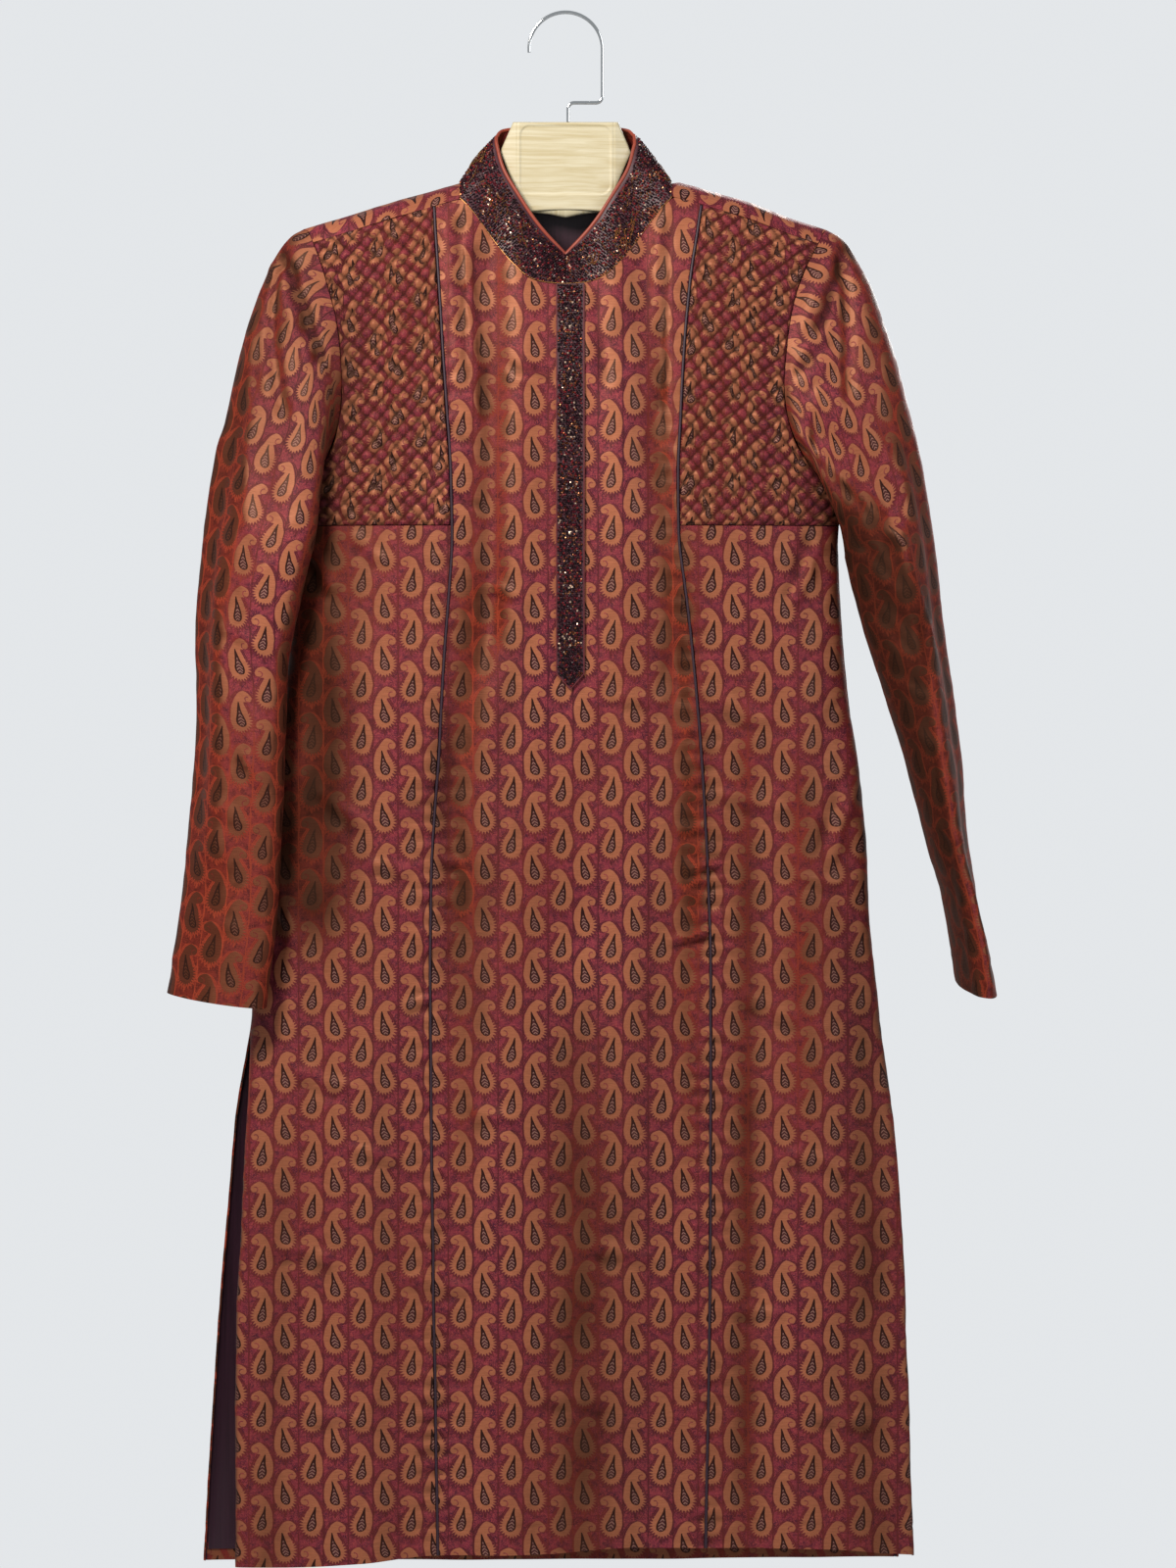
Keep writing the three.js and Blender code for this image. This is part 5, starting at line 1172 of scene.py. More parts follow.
def back_lining():
    rows, x, z, _, _ = back_places(LINING_STEP)
    first = len(FLAP_DROPS) + 1
    rows, x, z = rows[first:-1], x[first:-1], z[first:-1]
    x[:, 0] += LINING_INSET
    x[:, -1] -= LINING_INSET
    outer = back_points(rows, x, z, -CLOTH - 3 * SEAM, loose)
    inner = back_points(rows, x, z, -CLOTH - 3 * SEAM - LINING_WALL, loose)
    return cloth_mesh("lining_cloth", outer, inner, np.stack([x, z], -1), (LINING,))


def hem_facing():
    x = np.linspace(FACING_LEFT, FACING_RIGHT, FACING_POINTS)[None, :]
    hem_z = along(HEM_BACK, "x", "z", x)
    z = np.concatenate([hem_z + share * FACING_TOP for share in (1, 0.6, 0.2, 0)])
    x = np.broadcast_to(x, z.shape)
    outer = body_point(x, z, BACK, -CLOTH - SEAM)
    inner = body_point(x, z, BACK, -CLOTH - SEAM - LINING_WALL)
    turn = np.clip(0.35 + patchy(x, z), 0, 1)
    return cloth_mesh("hem_facing_cloth", outer, inner, np.stack([x, z], -1), (SILK,), turn=turn)


dress(back_lining(), "back_lining")
dress(hem_facing(), "back_hem_facing")

# %% [markdown]
# ## The sleeves
# A set-in sleeve is one piece of cloth closed to a tube. Its head is eased into the armhole, and from there
# the cloth swings out and falls. It is built from rings: the first is the armhole seam, the lower ones are
# flat ovals between an outer and an inner edge, and curves with a chosen leaving direction join them. The
# few rings are then refined to a close grid, and folds and creases are added on top.

# %% Sizes of the sleeves
# Each row of a sleeve is a flat oval: its outer and inner edge, and its bulge in front and behind.
SLEEVE_NAMES = "out_x out_y out_z in_x in_y in_z front back"
SLEEVES = {
    -1: [(-294, -4, -441, -206, -58, -434, 24, 26), (-298, -4, -500, -222, -54, -494, 25, 29),
         (-297, -6, -545, -230, -48, -541, 25, 28), (-299, -8, -606, -231, -50, -612, 23, 26),
         (-306, -10, -680, -234, -50, -690, 22, 24), (-311, -14, -725, -236, -50, -738, 20, 24),
         (-325, -18, -801, -244.4, -48, -814, 20, 22)],
    1: [(302, 0, -440, 230, -16, -450, 42, 34), (309, -4, -506, 244.5, -18, -506, 42, 36),
        (318, -8, -565, 263, -18, -562, 42, 36), (324, -10, -625, 281, -18, -622, 42, 36),
        (328.5, -12, -682, 297, -18, -684, 42, 38), (337, -12, -738, 313.5, -18, -738, 44, 40),
        (348, -12, -797, 323, -18, -797, 46, 42)],
}
CUFF_FRONT_DROP = {-1: 2.0, 1: 9.0}
# How the cloth leaves the armhole: at runs from the underarm up the front to the shoulder, and down the back.
SLEEVE_LEAVE = columns(
    "at out forward down", (-1, 34, 4, 26), (-0.94, 30, 26, 18), (-0.84, 28, 34, 16), (-0.6, 40, 34, 18),
    (-0.3, 84, 20, 26), (0, 130, 0, 32), (0.3, 100, -14, 26), (0.6, 60, -16, 22), (0.84, 34, -16, 18),
    (0.94, 30, -14, 22), (1, 34, 4, 26),
)
SLEEVE_FALL = 0.75
SLEEVE_CAP = (0, 0.1, 0.22, 0.36, 0.52, 0.68, 0.84, 1)
SLEEVE_TURN = {-1: (8, 0.72), 1: (10, 0.54)}  # the armhole stop that turns inwards, and the underarm's share
ARMHOLE_FRONT_STOPS = (0.13, 0.23, 0.34, 0.46, 0.59, 0.72, 0.84, 0.92, 0.97, 1)
ARMHOLE_BACK_STOPS = (0, 0.013, 0.055, 0.15, 0.3, 0.46, 0.63, 0.8, 0.93, 1)
print("sleeves:", {side: len(rows) for side, rows in SLEEVES.items()}, "ovals")

# %% Folds and creases of the sleeves
SLEEVE_FOLDS = {  # around0, down0, around1, down1, width, rise
    -1: [(0.06, 0.3, 0.07, 0.95, 11, 2.4), (0.13, 0.26, 0.13, 0.75, 9, -2.6), (0.1, 0.06, 0.27, 0.2, 9, -5),
         (0.21, 0.25, 0.22, 0.8, 11, 3.5), (0.7, 0.1, 0.75, 0.8, 12, -5), (0.86, 0.15, 0.87, 0.85, 11, 4)],
    1: [(0.1, 0.04, 0.23, 0.16, 9, -5), (0.36, 0.12, 0.24, 0.36, 12, -6), (0.3, 0.1, 0.19, 0.34, 13, 2),
        (0.34, 0.36, 0.3, 0.48, 14, 2.5), (0.36, 0.5, 0.28, 0.54, 12, -3), (0.24, 0.4, 0.25, 0.98, 8, 4),
        (0.12, 0.3, 0.12, 0.9, 10, -3.5), (0.75, 0.12, 0.76, 0.95, 11, 4.5), (0.88, 0.2, 0.87, 0.8, 11, -4)],
}
SLEEVE_CREASES = {  # seen from the front: x0, z0, x1, z1, width, rise
    -1: [(-231, -197, -201, -282, 6, -4.5), (-258, -241, -258, -421, 4, 1.4),
         (-282, -421, -282, -543, 4, 1.4), (-262, -612, -238, -640, 4, 1.8), (-278, -503, -252, -519, 4, 1.4),
         (-245, -300, -222, -318, 5, 1.2), (-296, -640, -262, -664, 5, 1.5), (-300, -742, -270, -750, 4, 1.2),
         (-240, -450, -262, -470, 5, 1.3)],
    1: [(228, -195, 207, -258, 6, -4), (216, -272, 188, -293, 4, -3),
        (224, -290, 204, -306, 3.5, -2), (188, -344, 233, -385, 4, 2.4), (233, -385, 274, -434, 4, 2.4),
        (244, -486, 284, -524, 4, -1.8), (252, -530, 290, -552, 3.5, -1.6), (226, -420, 268, -462, 4, -1.6),
        (271, -432, 298, -510, 4, 2), (298, -510, 309, -632, 4, 1.6), (309, -632, 337, -804, 4, 1.6),
        (286, -590, 304, -604, 4, 1.6), (300, -668, 322, -676, 4, 1.4), (318, -742, 334, -750, 4, 1.2)],
}
LEFT_RIDGE = columns(
    "z x", (-810, -330), (-640, -292), (-543, -282), (-421, -270), (-241, -258), (-190, -240),
)
RIGHT_RIDGE = columns(
    "z x", (-810, 338), (-718, 326), (-632, 309), (-575, 300), (-510, 298), (-432, 271), (-385, 236),
    (-340, 180),
)
BACK_SLEEVE_CREASES = [
    (-250, -300, -220, -330, 6, 1.6), (-290, -520, -250, -535, 6, 1.6), (250, -300, 224, -330, 6, 1.6),
    (300, -520, 264, -540, 6, 1.6), (-300, -660, -262, -676, 5, 1.4), (330, -660, 300, -672, 5, 1.4),
]
print("sleeve creases:", {side: len(rows) for side, rows in SLEEVE_CREASES.items()})

# %% From the armhole to the hanging rings
def armhole_loop(side):
    """Points just outside the armhole seam, from the shoulder down the front and up the back."""
    def clear(x, z, face):
        step = 0.5
        lean = float(armhole_x(side, z - step, face) - armhole_x(side, z + step, face)) / (2 * step)
        away = 1.6 * SEAM / math.hypot(1, lean)
        cleared = side * (abs(x) + away)
        return body_point(cleared, min(z + away * lean, float(ridge_z(cleared))), face)

    top = back_row_end("shoulder", 0.0, side)
    top_z = float(back_row_z("shoulder", 0.0, side * top))
    loop = [(clear(top, top_z, BACK), 0.0)]
    for drop in (4.5, FORWARD_SEAM_DROP - SEAM / 2):
        x = back_row_end("flap", drop, side)
        z = float(back_row_z("flap", drop, side * x))
        loop.append((clear(x, z, FRONT), -(top_z - z) / (top_z - UNDERARM_Z)))
    for stop in ARMHOLE_FRONT_STOPS:
        z = mix(top_z, UNDERARM_Z, stop)
        loop.append((clear(float(armhole_x(side, z, FRONT)), z, FRONT), -stop))
    for share in ARMHOLE_BACK_STOPS[-2:0:-1]:
        x = back_row_end("shoulder", share, side)
        z = float(back_row_z("shoulder", share, side * x))
        loop.append((clear(x, z, BACK), (top_z - z) / (top_z - UNDERARM_Z)))
    return np.array([point for point, _ in loop]), np.array([at for _, at in loop])


def ring_shares(side, count):
    inner_stop, underarm = SLEEVE_TURN[side]
    under_stop = len(ARMHOLE_FRONT_STOPS) + 2
    stops = [0, inner_stop, under_stop, count]
    return np.interp(np.arange(count), stops, [0, 0.5, underarm, 1])


# %% Rings and the curves that join them
def hanging_ring(side, down, shares):
    """An oval of the sleeve at a share of its length."""
    rows = SLEEVES[side]
    table = columns("at " + SLEEVE_NAMES, *[(i, *row) for i, row in enumerate(rows)])
    value = {name: float(along(table, "at", name, down * (len(rows) - 1))) for name in SLEEVE_NAMES.split()}
    outer = np.array([value["out_x"], value["out_y"], value["out_z"]])
    inner = np.array([value["in_x"], value["in_y"], value["in_z"]])
    reach = (outer - inner) / 2
    ahead = np.array([-reach[1], reach[0], 0.0])
    ahead = ahead / np.linalg.norm(ahead) * (-1 if ahead[1] > 0 else 1)
    angle = shares * 2 * math.pi
    forward = np.sin(angle)
    depth = np.where(forward > 0, value["front"], value["back"])
    ring = (outer + inner) / 2 + np.cos(angle)[:, None] * reach + (depth * forward)[:, None] * ahead
    ring[:, 2] -= CUFF_FRONT_DROP[side] * down * forward
    return ring


def hermite(start, leave, end, arrive, t):
    t2, t3 = t * t, t * t * t
    from_start = start * (2 * t3 - 3 * t2 + 1) + leave * (t3 - 2 * t2 + t)
    return from_start + end * (3 * t2 - 2 * t3) + arrive * (t3 - t2)


def refine(values, times, axis, around=False):
    """Catmull-Rom refinement: each cell along the axis is cut in so many parts."""
    values = np.moveaxis(np.asarray(values, float), axis, 0)
    if around:
        padded = np.concatenate([values[-1:], values, values[:2]])
    else:
        padded = np.concatenate([2 * values[:1] - values[1:2], values, 2 * values[-1:] - values[-2:-1]])
    a, b, c, d = padded[:-3], padded[1:-2], padded[2:-1], padded[3:]
    result = []
    for t in np.arange(times) / times:
        result.append(b + 0.5 * t * (c - a + t * (2 * a - 5 * b + 4 * c - d + t * (3 * (b - c) + d - a))))
    result = np.stack(result, 1).reshape(-1, *values.shape[1:])
    if not around:
        result = np.concatenate([result, values[-1:]])
    return np.moveaxis(result, 0, axis)


# %% The sleeve's smooth form
AROUND_TIMES, DOWN_TIMES = 7, 8


def sleeve_grid(side):
    """The points before folds and creases, and each column's share of the way round."""
    loop, at = armhole_loop(side)
    shares = ring_shares(side, len(loop))
    first, second = hanging_ring(side, 0.0, shares), hanging_ring(side, 0.05, shares)
    leave = np.stack([side * along(SLEEVE_LEAVE, "at", "out", at), -along(SLEEVE_LEAVE, "at", "forward", at),
                      -along(SLEEVE_LEAVE, "at", "down", at)], 1)
    fall = unit(second - first) * (SLEEVE_FALL * np.linalg.norm(loop - first, axis=1))[:, None]
    rings = [hermite(loop, leave, first, fall, t) for t in SLEEVE_CAP]
    rings += [hanging_ring(side, t, shares) for t in np.linspace(0, 1, 10)[1:]]
    grid = refine(refine(np.array(rings), AROUND_TIMES, 1, around=True), DOWN_TIMES, 0)
    return grid, refine(np.concatenate([shares, [1.0]]), AROUND_TIMES, 0)[:-1]


def sleeve_rise(side, grid, normals, turn_share, length):
    """Height of the folds and creases over the smooth form, and the creases alone."""
    down = length / length[-1]
    girth = np.linalg.norm(np.roll(grid, -1, 1) - grid, axis=2).sum(1)
    rise = np.zeros(grid.shape[:2])
    for around0, down0, around1, down1, width, height in SLEEVE_FOLDS[side]:
        run_a, run_d = (around1 - around0) * girth[:, None], (down1 - down0) * length[-1]
        here_a = (turn_share[None, :] - around0) * girth[:, None]
        here_d = (down[:, None] - down0) * length[-1]
        t = np.clip((here_a * run_a + here_d * run_d) / (run_a**2 + run_d**2), 0, 1)
        rise += height * bell(np.hypot(here_a - run_a * t, here_d - run_d * t), width)
    x, z = grid[..., 0], grid[..., 2]
    ahead = smooth(0.1, 0.5, -normals[..., 1])
    behind = smooth(0.1, 0.5, normals[..., 1])
    creases = crease_rise(SLEEVE_CREASES[side], x, z, 2) * ahead
    creases = creases + crease_rise(BACK_SLEEVE_CREASES, x, z, 4) * behind
    rise += creases
    rise += 0.7 * uneven(x * 1.2, z * 0.5, 26, side + 15) + 0.25 * uneven(x, z, 10, side + 17)
    rise -= (STITCH_DEPTH * bell(length[-1] - length - CUFF_STITCH, STITCH_WIDTH))[:, None]
    return rise * smooth(0, 0.05, down)[:, None], creases


# %% Colours and flat places of a sleeve
CUFF_STITCH = 26.0  # the cuff's line of stitches, above its edge
UNDERARM_COLUMN = 0.56  # the sleeve's own seam lies here, as a share of the way round


def sleeve_cloth_places(outer, start, side):
    """Flat places: across from the front fold, down from the cuff."""
    wide = np.linalg.norm(np.roll(outer, -1, 1) - outer, axis=2)
    u = np.concatenate([np.zeros((len(outer), 1)), np.cumsum(wide, axis=1)], 1)
    fold = outer.shape[1] - start
    u = u - u[:, fold:fold + 1] + side * 12
    drops = np.linalg.norm(np.diff(outer, axis=0), axis=2)
    to_cuff = np.concatenate([np.cumsum(drops[::-1], axis=0)[::-1], np.zeros((1, drops.shape[1]))])
    return np.stack([u, np.concatenate([to_cuff, to_cuff[:, :1]], 1)], -1)


def sleeve_colours(side, outer, outward, creases):
    """Turn and painted shade, which change along the ridge that each sleeve shows in front.

    The shade darkens one side of each ridge, the cloth that faces the body and the hollows of the creases,
    and on the left sleeve also the upper front, where the key light falls strongest.
    """
    x, z = outer[..., 0], outer[..., 2]
    turn = 0.7 * turned_away(outward) + patchy(x, z)
    if side < 0:
        ridge_x = along(LEFT_RIDGE, "z", "x", z)
        turn = turn + 0.75 * smooth(5, -5, x - ridge_x) + 0.6 * smooth(-500, -640, z)
        painted_shade = 0.3 * smooth(0, -30, x - ridge_x) - 0.15 * smooth(-700, -800, z)
        painted_shade = painted_shade + 0.4 * smooth(-440, -330, z) * smooth(0.1, 0.6, -outward[..., 1])
    else:
        ridge_x = along(RIGHT_RIDGE, "z", "x", z)
        turn = turn + 0.8 * smooth(-350, -450, z) * smooth(6, -6, x - ridge_x)
        turn = turn + 0.35 * smooth(-480, -620, z)
        painted_shade = 0.85 * smooth(-360, -430, z) * smooth(4, -8, x - ridge_x)
    painted_shade = painted_shade + 0.3 * smooth(0.15, 0.7, -side * outward[..., 0]) + 1.0 * smooth(0.5, 3.2, -creases)
    return np.clip(turn, 0, 1), np.clip(painted_shade, 0, 1)


# %% A sleeve
def facing_out(normals, outwards):
    return -normals if (normals * outwards).sum() < 0 else normals


def sleeve(side):
    grid, turn_share = sleeve_grid(side)
    length = lengths(grid[:, 0])
    normals = facing_out(grid_normals(grid, around=True), grid - grid.mean(1, keepdims=True))
    rise, creases = sleeve_rise(side, grid, normals, turn_share, length)
    outer = grid + normals * rise[..., None]
    outward = facing_out(grid_normals(outer, around=True), normals)
    start = int(np.argmin(np.abs(turn_share - UNDERARM_COLUMN)))
    outer, outward, creases = (np.roll(part, -start, 1) for part in (outer, outward, creases))
    turn, painted_shade = sleeve_colours(side, outer, outward, creases)
    word = "left" if side < 0 else "right"
    flat = sleeve_cloth_places(outer, start, side)
    return cloth_mesh(f"sleeve_{word}_cloth", outer, outer - outward * CLOTH, flat, (SILK, LINING),
                      around=True, turn=turn, painted_shade=painted_shade)


for side, word in ((-1, "left"), (1, "right")):
    dress(sleeve(side), f"sleeve_{word}")

# %% [markdown]
# ## Beads
# The collar and the placket band are covered with small cut glass beads and a few metal ones. A bead is an
# icosahedron: twenty flat facets, of which one or two catch the light at any time, and that is what
# sparkles. All beads of a piece are one mesh. Each bead carries one number, which its material turns into a
# colour.

# %% A field of beads
BEAD_PITCH = 2.0
BEAD_RADIUS = 1.02
BEAD_SHADE = "bead"


def bead_shape():
    shape = bmesh.new()
    bmesh.ops.create_icosphere(shape, subdivisions=1, radius=1.0)
    points = np.array([v.co[:] for v in shape.verts])
    faces = np.array([[v.index for v in face.verts] for face in shape.faces])
    shape.free()
    return points, faces


def turned_frames(rng, count):
    """Random rotations, from random unit quaternions."""
    w, x, y, z = unit(rng.normal(size=(count, 4))).T
    return np.array([[1 - 2 * (y * y + z * z), 2 * (x * y - z * w), 2 * (x * z + y * w)],
                     [2 * (x * y + z * w), 1 - 2 * (x * x + z * z), 2 * (y * z - x * w)],
                     [2 * (x * z - y * w), 2 * (y * z + x * w), 1 - 2 * (x * x + y * y)]]).transpose(2, 0, 1)


def bead_field(name, places, shades, seed):
    rng = np.random.default_rng(seed)
    shape, shape_faces = bead_shape()
    size = BEAD_RADIUS * rng.uniform(0.8, 1.12, (len(places), 1, 1))
    points = places[:, None] + size * np.einsum("nij,vj->nvi", turned_frames(rng, len(places)), shape)
    faces = (shape_faces[None] + np.arange(len(places))[:, None, None] * len(shape)).reshape(-1, 3)
    piece = new_piece(name, points.reshape(-1, 3), faces.tolist(), (GLASS,))
    point_number(piece.data, BEAD_SHADE, np.repeat(shades, len(shape)))
    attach(piece, "root")
    print(f"{name}: {len(places)} beads")


# %% How beads are strewn
def hexagonal(width, height, pitch, rng, jitter=0.22):
    """Places of a jittered hexagonal packing in a width x height field."""
    rows = max(2, int(height / (pitch * 0.87)))
    cols = max(2, int(width / pitch))
    row, col = np.meshgrid(np.arange(rows), np.arange(cols), indexing="ij")
    u = (col + 0.25 + 0.5 * (row % 2)) * pitch + rng.uniform(-jitter, jitter, row.shape) * pitch
    v = (row + 0.5) * height / rows + rng.uniform(-jitter, jitter, row.shape) * pitch
    inside = (u > 0.3) & (u < width - 0.3)
    return u[inside], np.clip(v[inside], 0.3, height - 0.3)


# %% [markdown]
# Cut glass is smooth and hard, so each facet is either dark or a sharp glint. Most of these beads are dark
# wine glass, some are clear rust or plum, and about one in six is a metal bead, which glows warm. Gold
# thread is a flattened metal wire spun round a core: its twist breaks the shine into short stripes.

# %% Glass and gold thread
METAL_FROM = 0.84  # beads with a number above this are metal
BEAD_COLOURS = [
    (0.0, "#16060C"), (0.3, "#2A0A14"), (0.5, "#4A0E1A"), (0.66, "#6E1C20"), (0.76, "#34161E"),
    (METAL_FROM, "#6A3824"), (0.93, "#9A6646"), (0.98, "#E2C4AC"),
]


def glass_beads():
    material, tree, shader = new_material("cut_glass_beads")
    shade = add(tree, NUMBER, attribute_name=BEAD_SHADE).outputs["Fac"]
    ramp = add(tree, "ShaderNodeValToRGB", {"Fac": shade})
    stops = ramp.color_ramp
    stops.interpolation = "CONSTANT"
    stops.elements[0].color = linear(BEAD_COLOURS[0][1])
    stops.elements[1].position, stops.elements[1].color = BEAD_COLOURS[-1][0], linear(BEAD_COLOURS[-1][1])
    for position, colour in BEAD_COLOURS[1:-1]:
        stops.elements.new(position).color = linear(colour)
    metal = add(tree, RANGE,
                {"Value": shade, "From Min": METAL_FROM - 0.01, "From Max": METAL_FROM + 0.01, "To Max": 0.8})
    tree.links.new(ramp.outputs["Color"], shader.inputs["Base Color"])
    tree.links.new(metal.outputs[0], shader.inputs["Metallic"])
    shader.inputs["Roughness"].default_value = 0.3
    shader.inputs["Specular IOR Level"].default_value = 0.22
    return material


def spun_gold():
    material, tree, shader = new_material("spun_gold_thread")
    flat = add(tree, UV, uv_map=CLOTH_MAP)
    twist = add(tree, "ShaderNodeTexWave", {"Vector": flat, "Scale": 0.7, "Distortion": 1.0},
                bands_direction="DIAGONAL")
    tint = blend_colours(tree, twist, linear("#7A4E2E"), linear("#C4935C"))
    tree.links.new(tint, shader.inputs["Base Color"])
    shader.inputs["Metallic"].default_value = 1.0
    shader.inputs["Roughness"].default_value = 0.5
    return material


GLASS = glass_beads()
GOLD = spun_gold()
print("bead colours:", len(BEAD_COLOURS))

# %% [markdown]
# ## The placket band
# A straight band with a pointed end lies over the neck slit. Its beads follow an order: every 42 mm a pale
# bead with a ring of lighter petals stands on the band's middle line, and the rest fills the ground. A
# wine-coloured silk thread is couched along both edges and hides the cut.

# %% Placket
FLOWERS_Z = (-258, -300.8, -343.2, -384.8, -426.4, -470.4, -512.8)
PLACKET_MIDDLE = (PLACKET_LEFT + PLACKET_RIGHT) / 2
PLACKET_WALL = 1.8
PLACKET_TOP_Z = -223.5
BEAD_MARGIN = 0.7  # bare cloth between the beads and the band's edge
EDGE_POINTS = 120


def placket_bottom(x):
    to_middle = np.abs(x - PLACKET_MIDDLE) / (PLACKET_RIGHT - PLACKET_MIDDLE)
    return mix(PLACKET_TIP_Z, PLACKET_BOTTOM_Z, np.clip(to_middle, 0, 1))


def placket_top(x):
    return along(NECK_FRONT, "x", "z", np.abs(x)) - 0.3


def placket():
    x = np.linspace(PLACKET_LEFT, PLACKET_RIGHT, 13)[None, :]
    z = mix(placket_top(x), placket_bottom(x), steps(330)[:, None])
    x = np.broadcast_to(x, z.shape)
    loose = 0.25 * uneven(x, z, 30, 14)
    outer = body_point(x, z, FRONT, SEAM + PLACKET_WALL + loose)
    inner = body_point(x, z, FRONT, SEAM)
    return cloth_mesh("placket_cloth", outer, inner, np.stack([x, z], -1), (BEAD_CLOTH,))


dress(placket(), "placket_band")

# %% Beads and edges of the placket
EDGE_THREAD = satin("wine_edge_thread", "#7A2A30", "#3E1018", 0.5, 0.6)


def placket_beads():
    rng = np.random.default_rng(5)
    width = PLACKET_RIGHT - PLACKET_LEFT - 2 * BEAD_MARGIN
    u, v = hexagonal(width, PLACKET_TOP_Z - PLACKET_TIP_Z, BEAD_PITCH, rng)
    x, z = PLACKET_LEFT + BEAD_MARGIN + u, PLACKET_TOP_Z - v
    inside = (z > placket_bottom(x) + 1.2) & (z < placket_top(x) - 0.6)
    x, z = x[inside], z[inside]
    shade = rng.uniform(0, 1, len(x)) ** 1.15
    flower = np.min([np.hypot(x - PLACKET_MIDDLE, z - centre) for centre in FLOWERS_Z], axis=0)
    angle = np.arctan2(z - np.round(z / 42.6) * 42.6, x - PLACKET_MIDDLE)
    petal = bell(flower - 5.4 - 0.8 * np.cos(6 * angle), 1.1)
    shade = np.where(flower < 1.5, 0.99, shade)
    shade = np.where(petal > 0.55, np.clip(0.86 + 0.14 * rng.uniform(size=len(x)), 0, 1), shade)
    shade = np.where(bell(flower - 2.9, 0.8) > 0.6, shade * 0.3, shade)
    bead_field("placket_beads", body_point(x, z, FRONT, SEAM + PLACKET_WALL + 0.55), shade, 6)


def placket_edges():
    down = np.concatenate([np.linspace(PLACKET_TOP_Z, PLACKET_BOTTOM_Z, EDGE_POINTS), [PLACKET_TIP_Z]])
    for word, edge_x in (("left", PLACKET_LEFT), ("right", PLACKET_RIGHT)):
        x = np.concatenate([np.full(EDGE_POINTS, edge_x), [PLACKET_MIDDLE]])
        path = body_point(x, down, FRONT, SEAM + PLACKET_WALL + 0.1)
        edge = tube(f"placket_edge_{word}", path, 0.55, EDGE_THREAD, sides=6)
        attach(edge, "root")


placket_beads()
placket_edges()
print("placket flowers:", len(FLOWERS_Z))

# %% [markdown]
# ## The stand collar
# The collar is a straight band sewn to the neck edge, so its lower edge is the neck seam and its upper edge
# stands free. It is built from stations along the neck seam: each has its place on the seam and its place
# on the top edge, which a table gives by the share of the seam's length. The ends meet at the front.

# %% Sizes of the collar
COLLAR = columns(
    "at x y z", (0, 0.4, -14, -197), (0.13, 19, -17, -178), (0.26, 36, -16, -154), (0.43, 52, -10, -126),
    (0.52, 56, -5, -112), (0.61, 57.5, 1, -102), (0.7, 54, 9, -96), (0.8, 40, 14.5, -93.5),
    (0.9, 20, 17.5, -92.8), (1, 0, 18, -92.8),
)
COLLAR_WALL = 1.8
COLLAR_BULGE = 1.6
COLLAR_BEADS_TOP = 0.93  # the beads stop at this share of the height
COLLAR_ROWS = 15


def neck_seam(side, out):
    """Places on the neck edge from the centre front, over the shoulder, to the centre back."""
    front_x = np.array([0.4, 4, 8, 12, 16, 20, 25, 30, 35, 40, 45, 50, 56, 62, 68, 74, 80, 86.3])
    back_x = np.array([86.3, 84, 80, 74, 67, 60, 52, 44, 36, 28, 20, 13, 6, 0])
    drops = np.array([FORWARD_SEAM_DROP - SEAM / 2, 8.5, 4.5, 2.0])
    front = body_point(side * front_x, along(NECK_FRONT, "x", "z", front_x), FRONT, out)
    over = body_point(np.full(4, side * NECK_HALF), ridge_z(side * NECK_HALF) - drops, FRONT, out)
    behind = body_point(side * back_x, along(NECK_BACK, "x", "z", back_x), BACK, out)
    return np.concatenate([front, over, behind])


def collar_grid(heights):
    """Outer points and the way through the wall, rows from the seam up, columns round the neck."""
    halves = []
    heights = np.asarray(heights)[:, None, None]
    for side in (1, -1):
        seam = neck_seam(side, 0.0)
        at = lengths(seam) / lengths(seam)[-1]
        top = np.stack([side * along(COLLAR, "at", "x", at), along(COLLAR, "at", "y", at),
                        along(COLLAR, "at", "z", at)], 1)
        rise = unit(top - seam)
        outward = unit(seam * [1, 1, 0])
        way = unit(outward - (outward * rise).sum(1, keepdims=True) * rise)
        low = seam + rise * 1.5 * SEAM
        points = mix(low, top, heights) + way * COLLAR_BULGE * np.sin(math.pi * heights)
        halves.append((points, np.broadcast_to(way, points.shape)))
    return [np.concatenate([halves[0][i], halves[1][i][:, -2::-1]], 1) for i in (0, 1)]


# %% The collar's cloth
def collar_point(grid, way, around, up, out):
    """A place on the collar: around in columns, up in rows, out in mm from the cloth."""
    c, r = np.clip(around, 0, grid.shape[1] - 1.001), np.clip(up, 0, grid.shape[0] - 1.001)
    c0, r0 = c.astype(int), r.astype(int)
    fc, fr = (c - c0)[:, None], (r - r0)[:, None]
    low = mix(grid[r0, c0], grid[r0, c0 + 1], fc)
    place = mix(low, mix(grid[r0 + 1, c0], grid[r0 + 1, c0 + 1], fc), fr)
    return place + unit(mix(way[r0, c0], way[r0, c0 + 1], fc)) * out


grid, way = (refine(part, 3, 1) for part in collar_grid(np.linspace(0, 1, COLLAR_ROWS)))
way = unit(way)
rows_up = np.arange(COLLAR_ROWS)[:, None]
roll = 0.5 * uneven(np.arange(grid.shape[1])[None, :] * 3.0, rows_up * 4.0, 30, 5)
ruffled = grid + way * (roll * smooth(0, 3, rows_up))[..., None]
inner = ruffled - way * COLLAR_WALL
# The collar's silk inside takes a fixed turned colour and a fixed painted shade.
collar = cloth_mesh("collar_cloth", ruffled, inner, flat_cloth(grid), (BEAD_CLOTH, SILK), turn=0.85, painted_shade=0.3)
dress(collar, "collar")

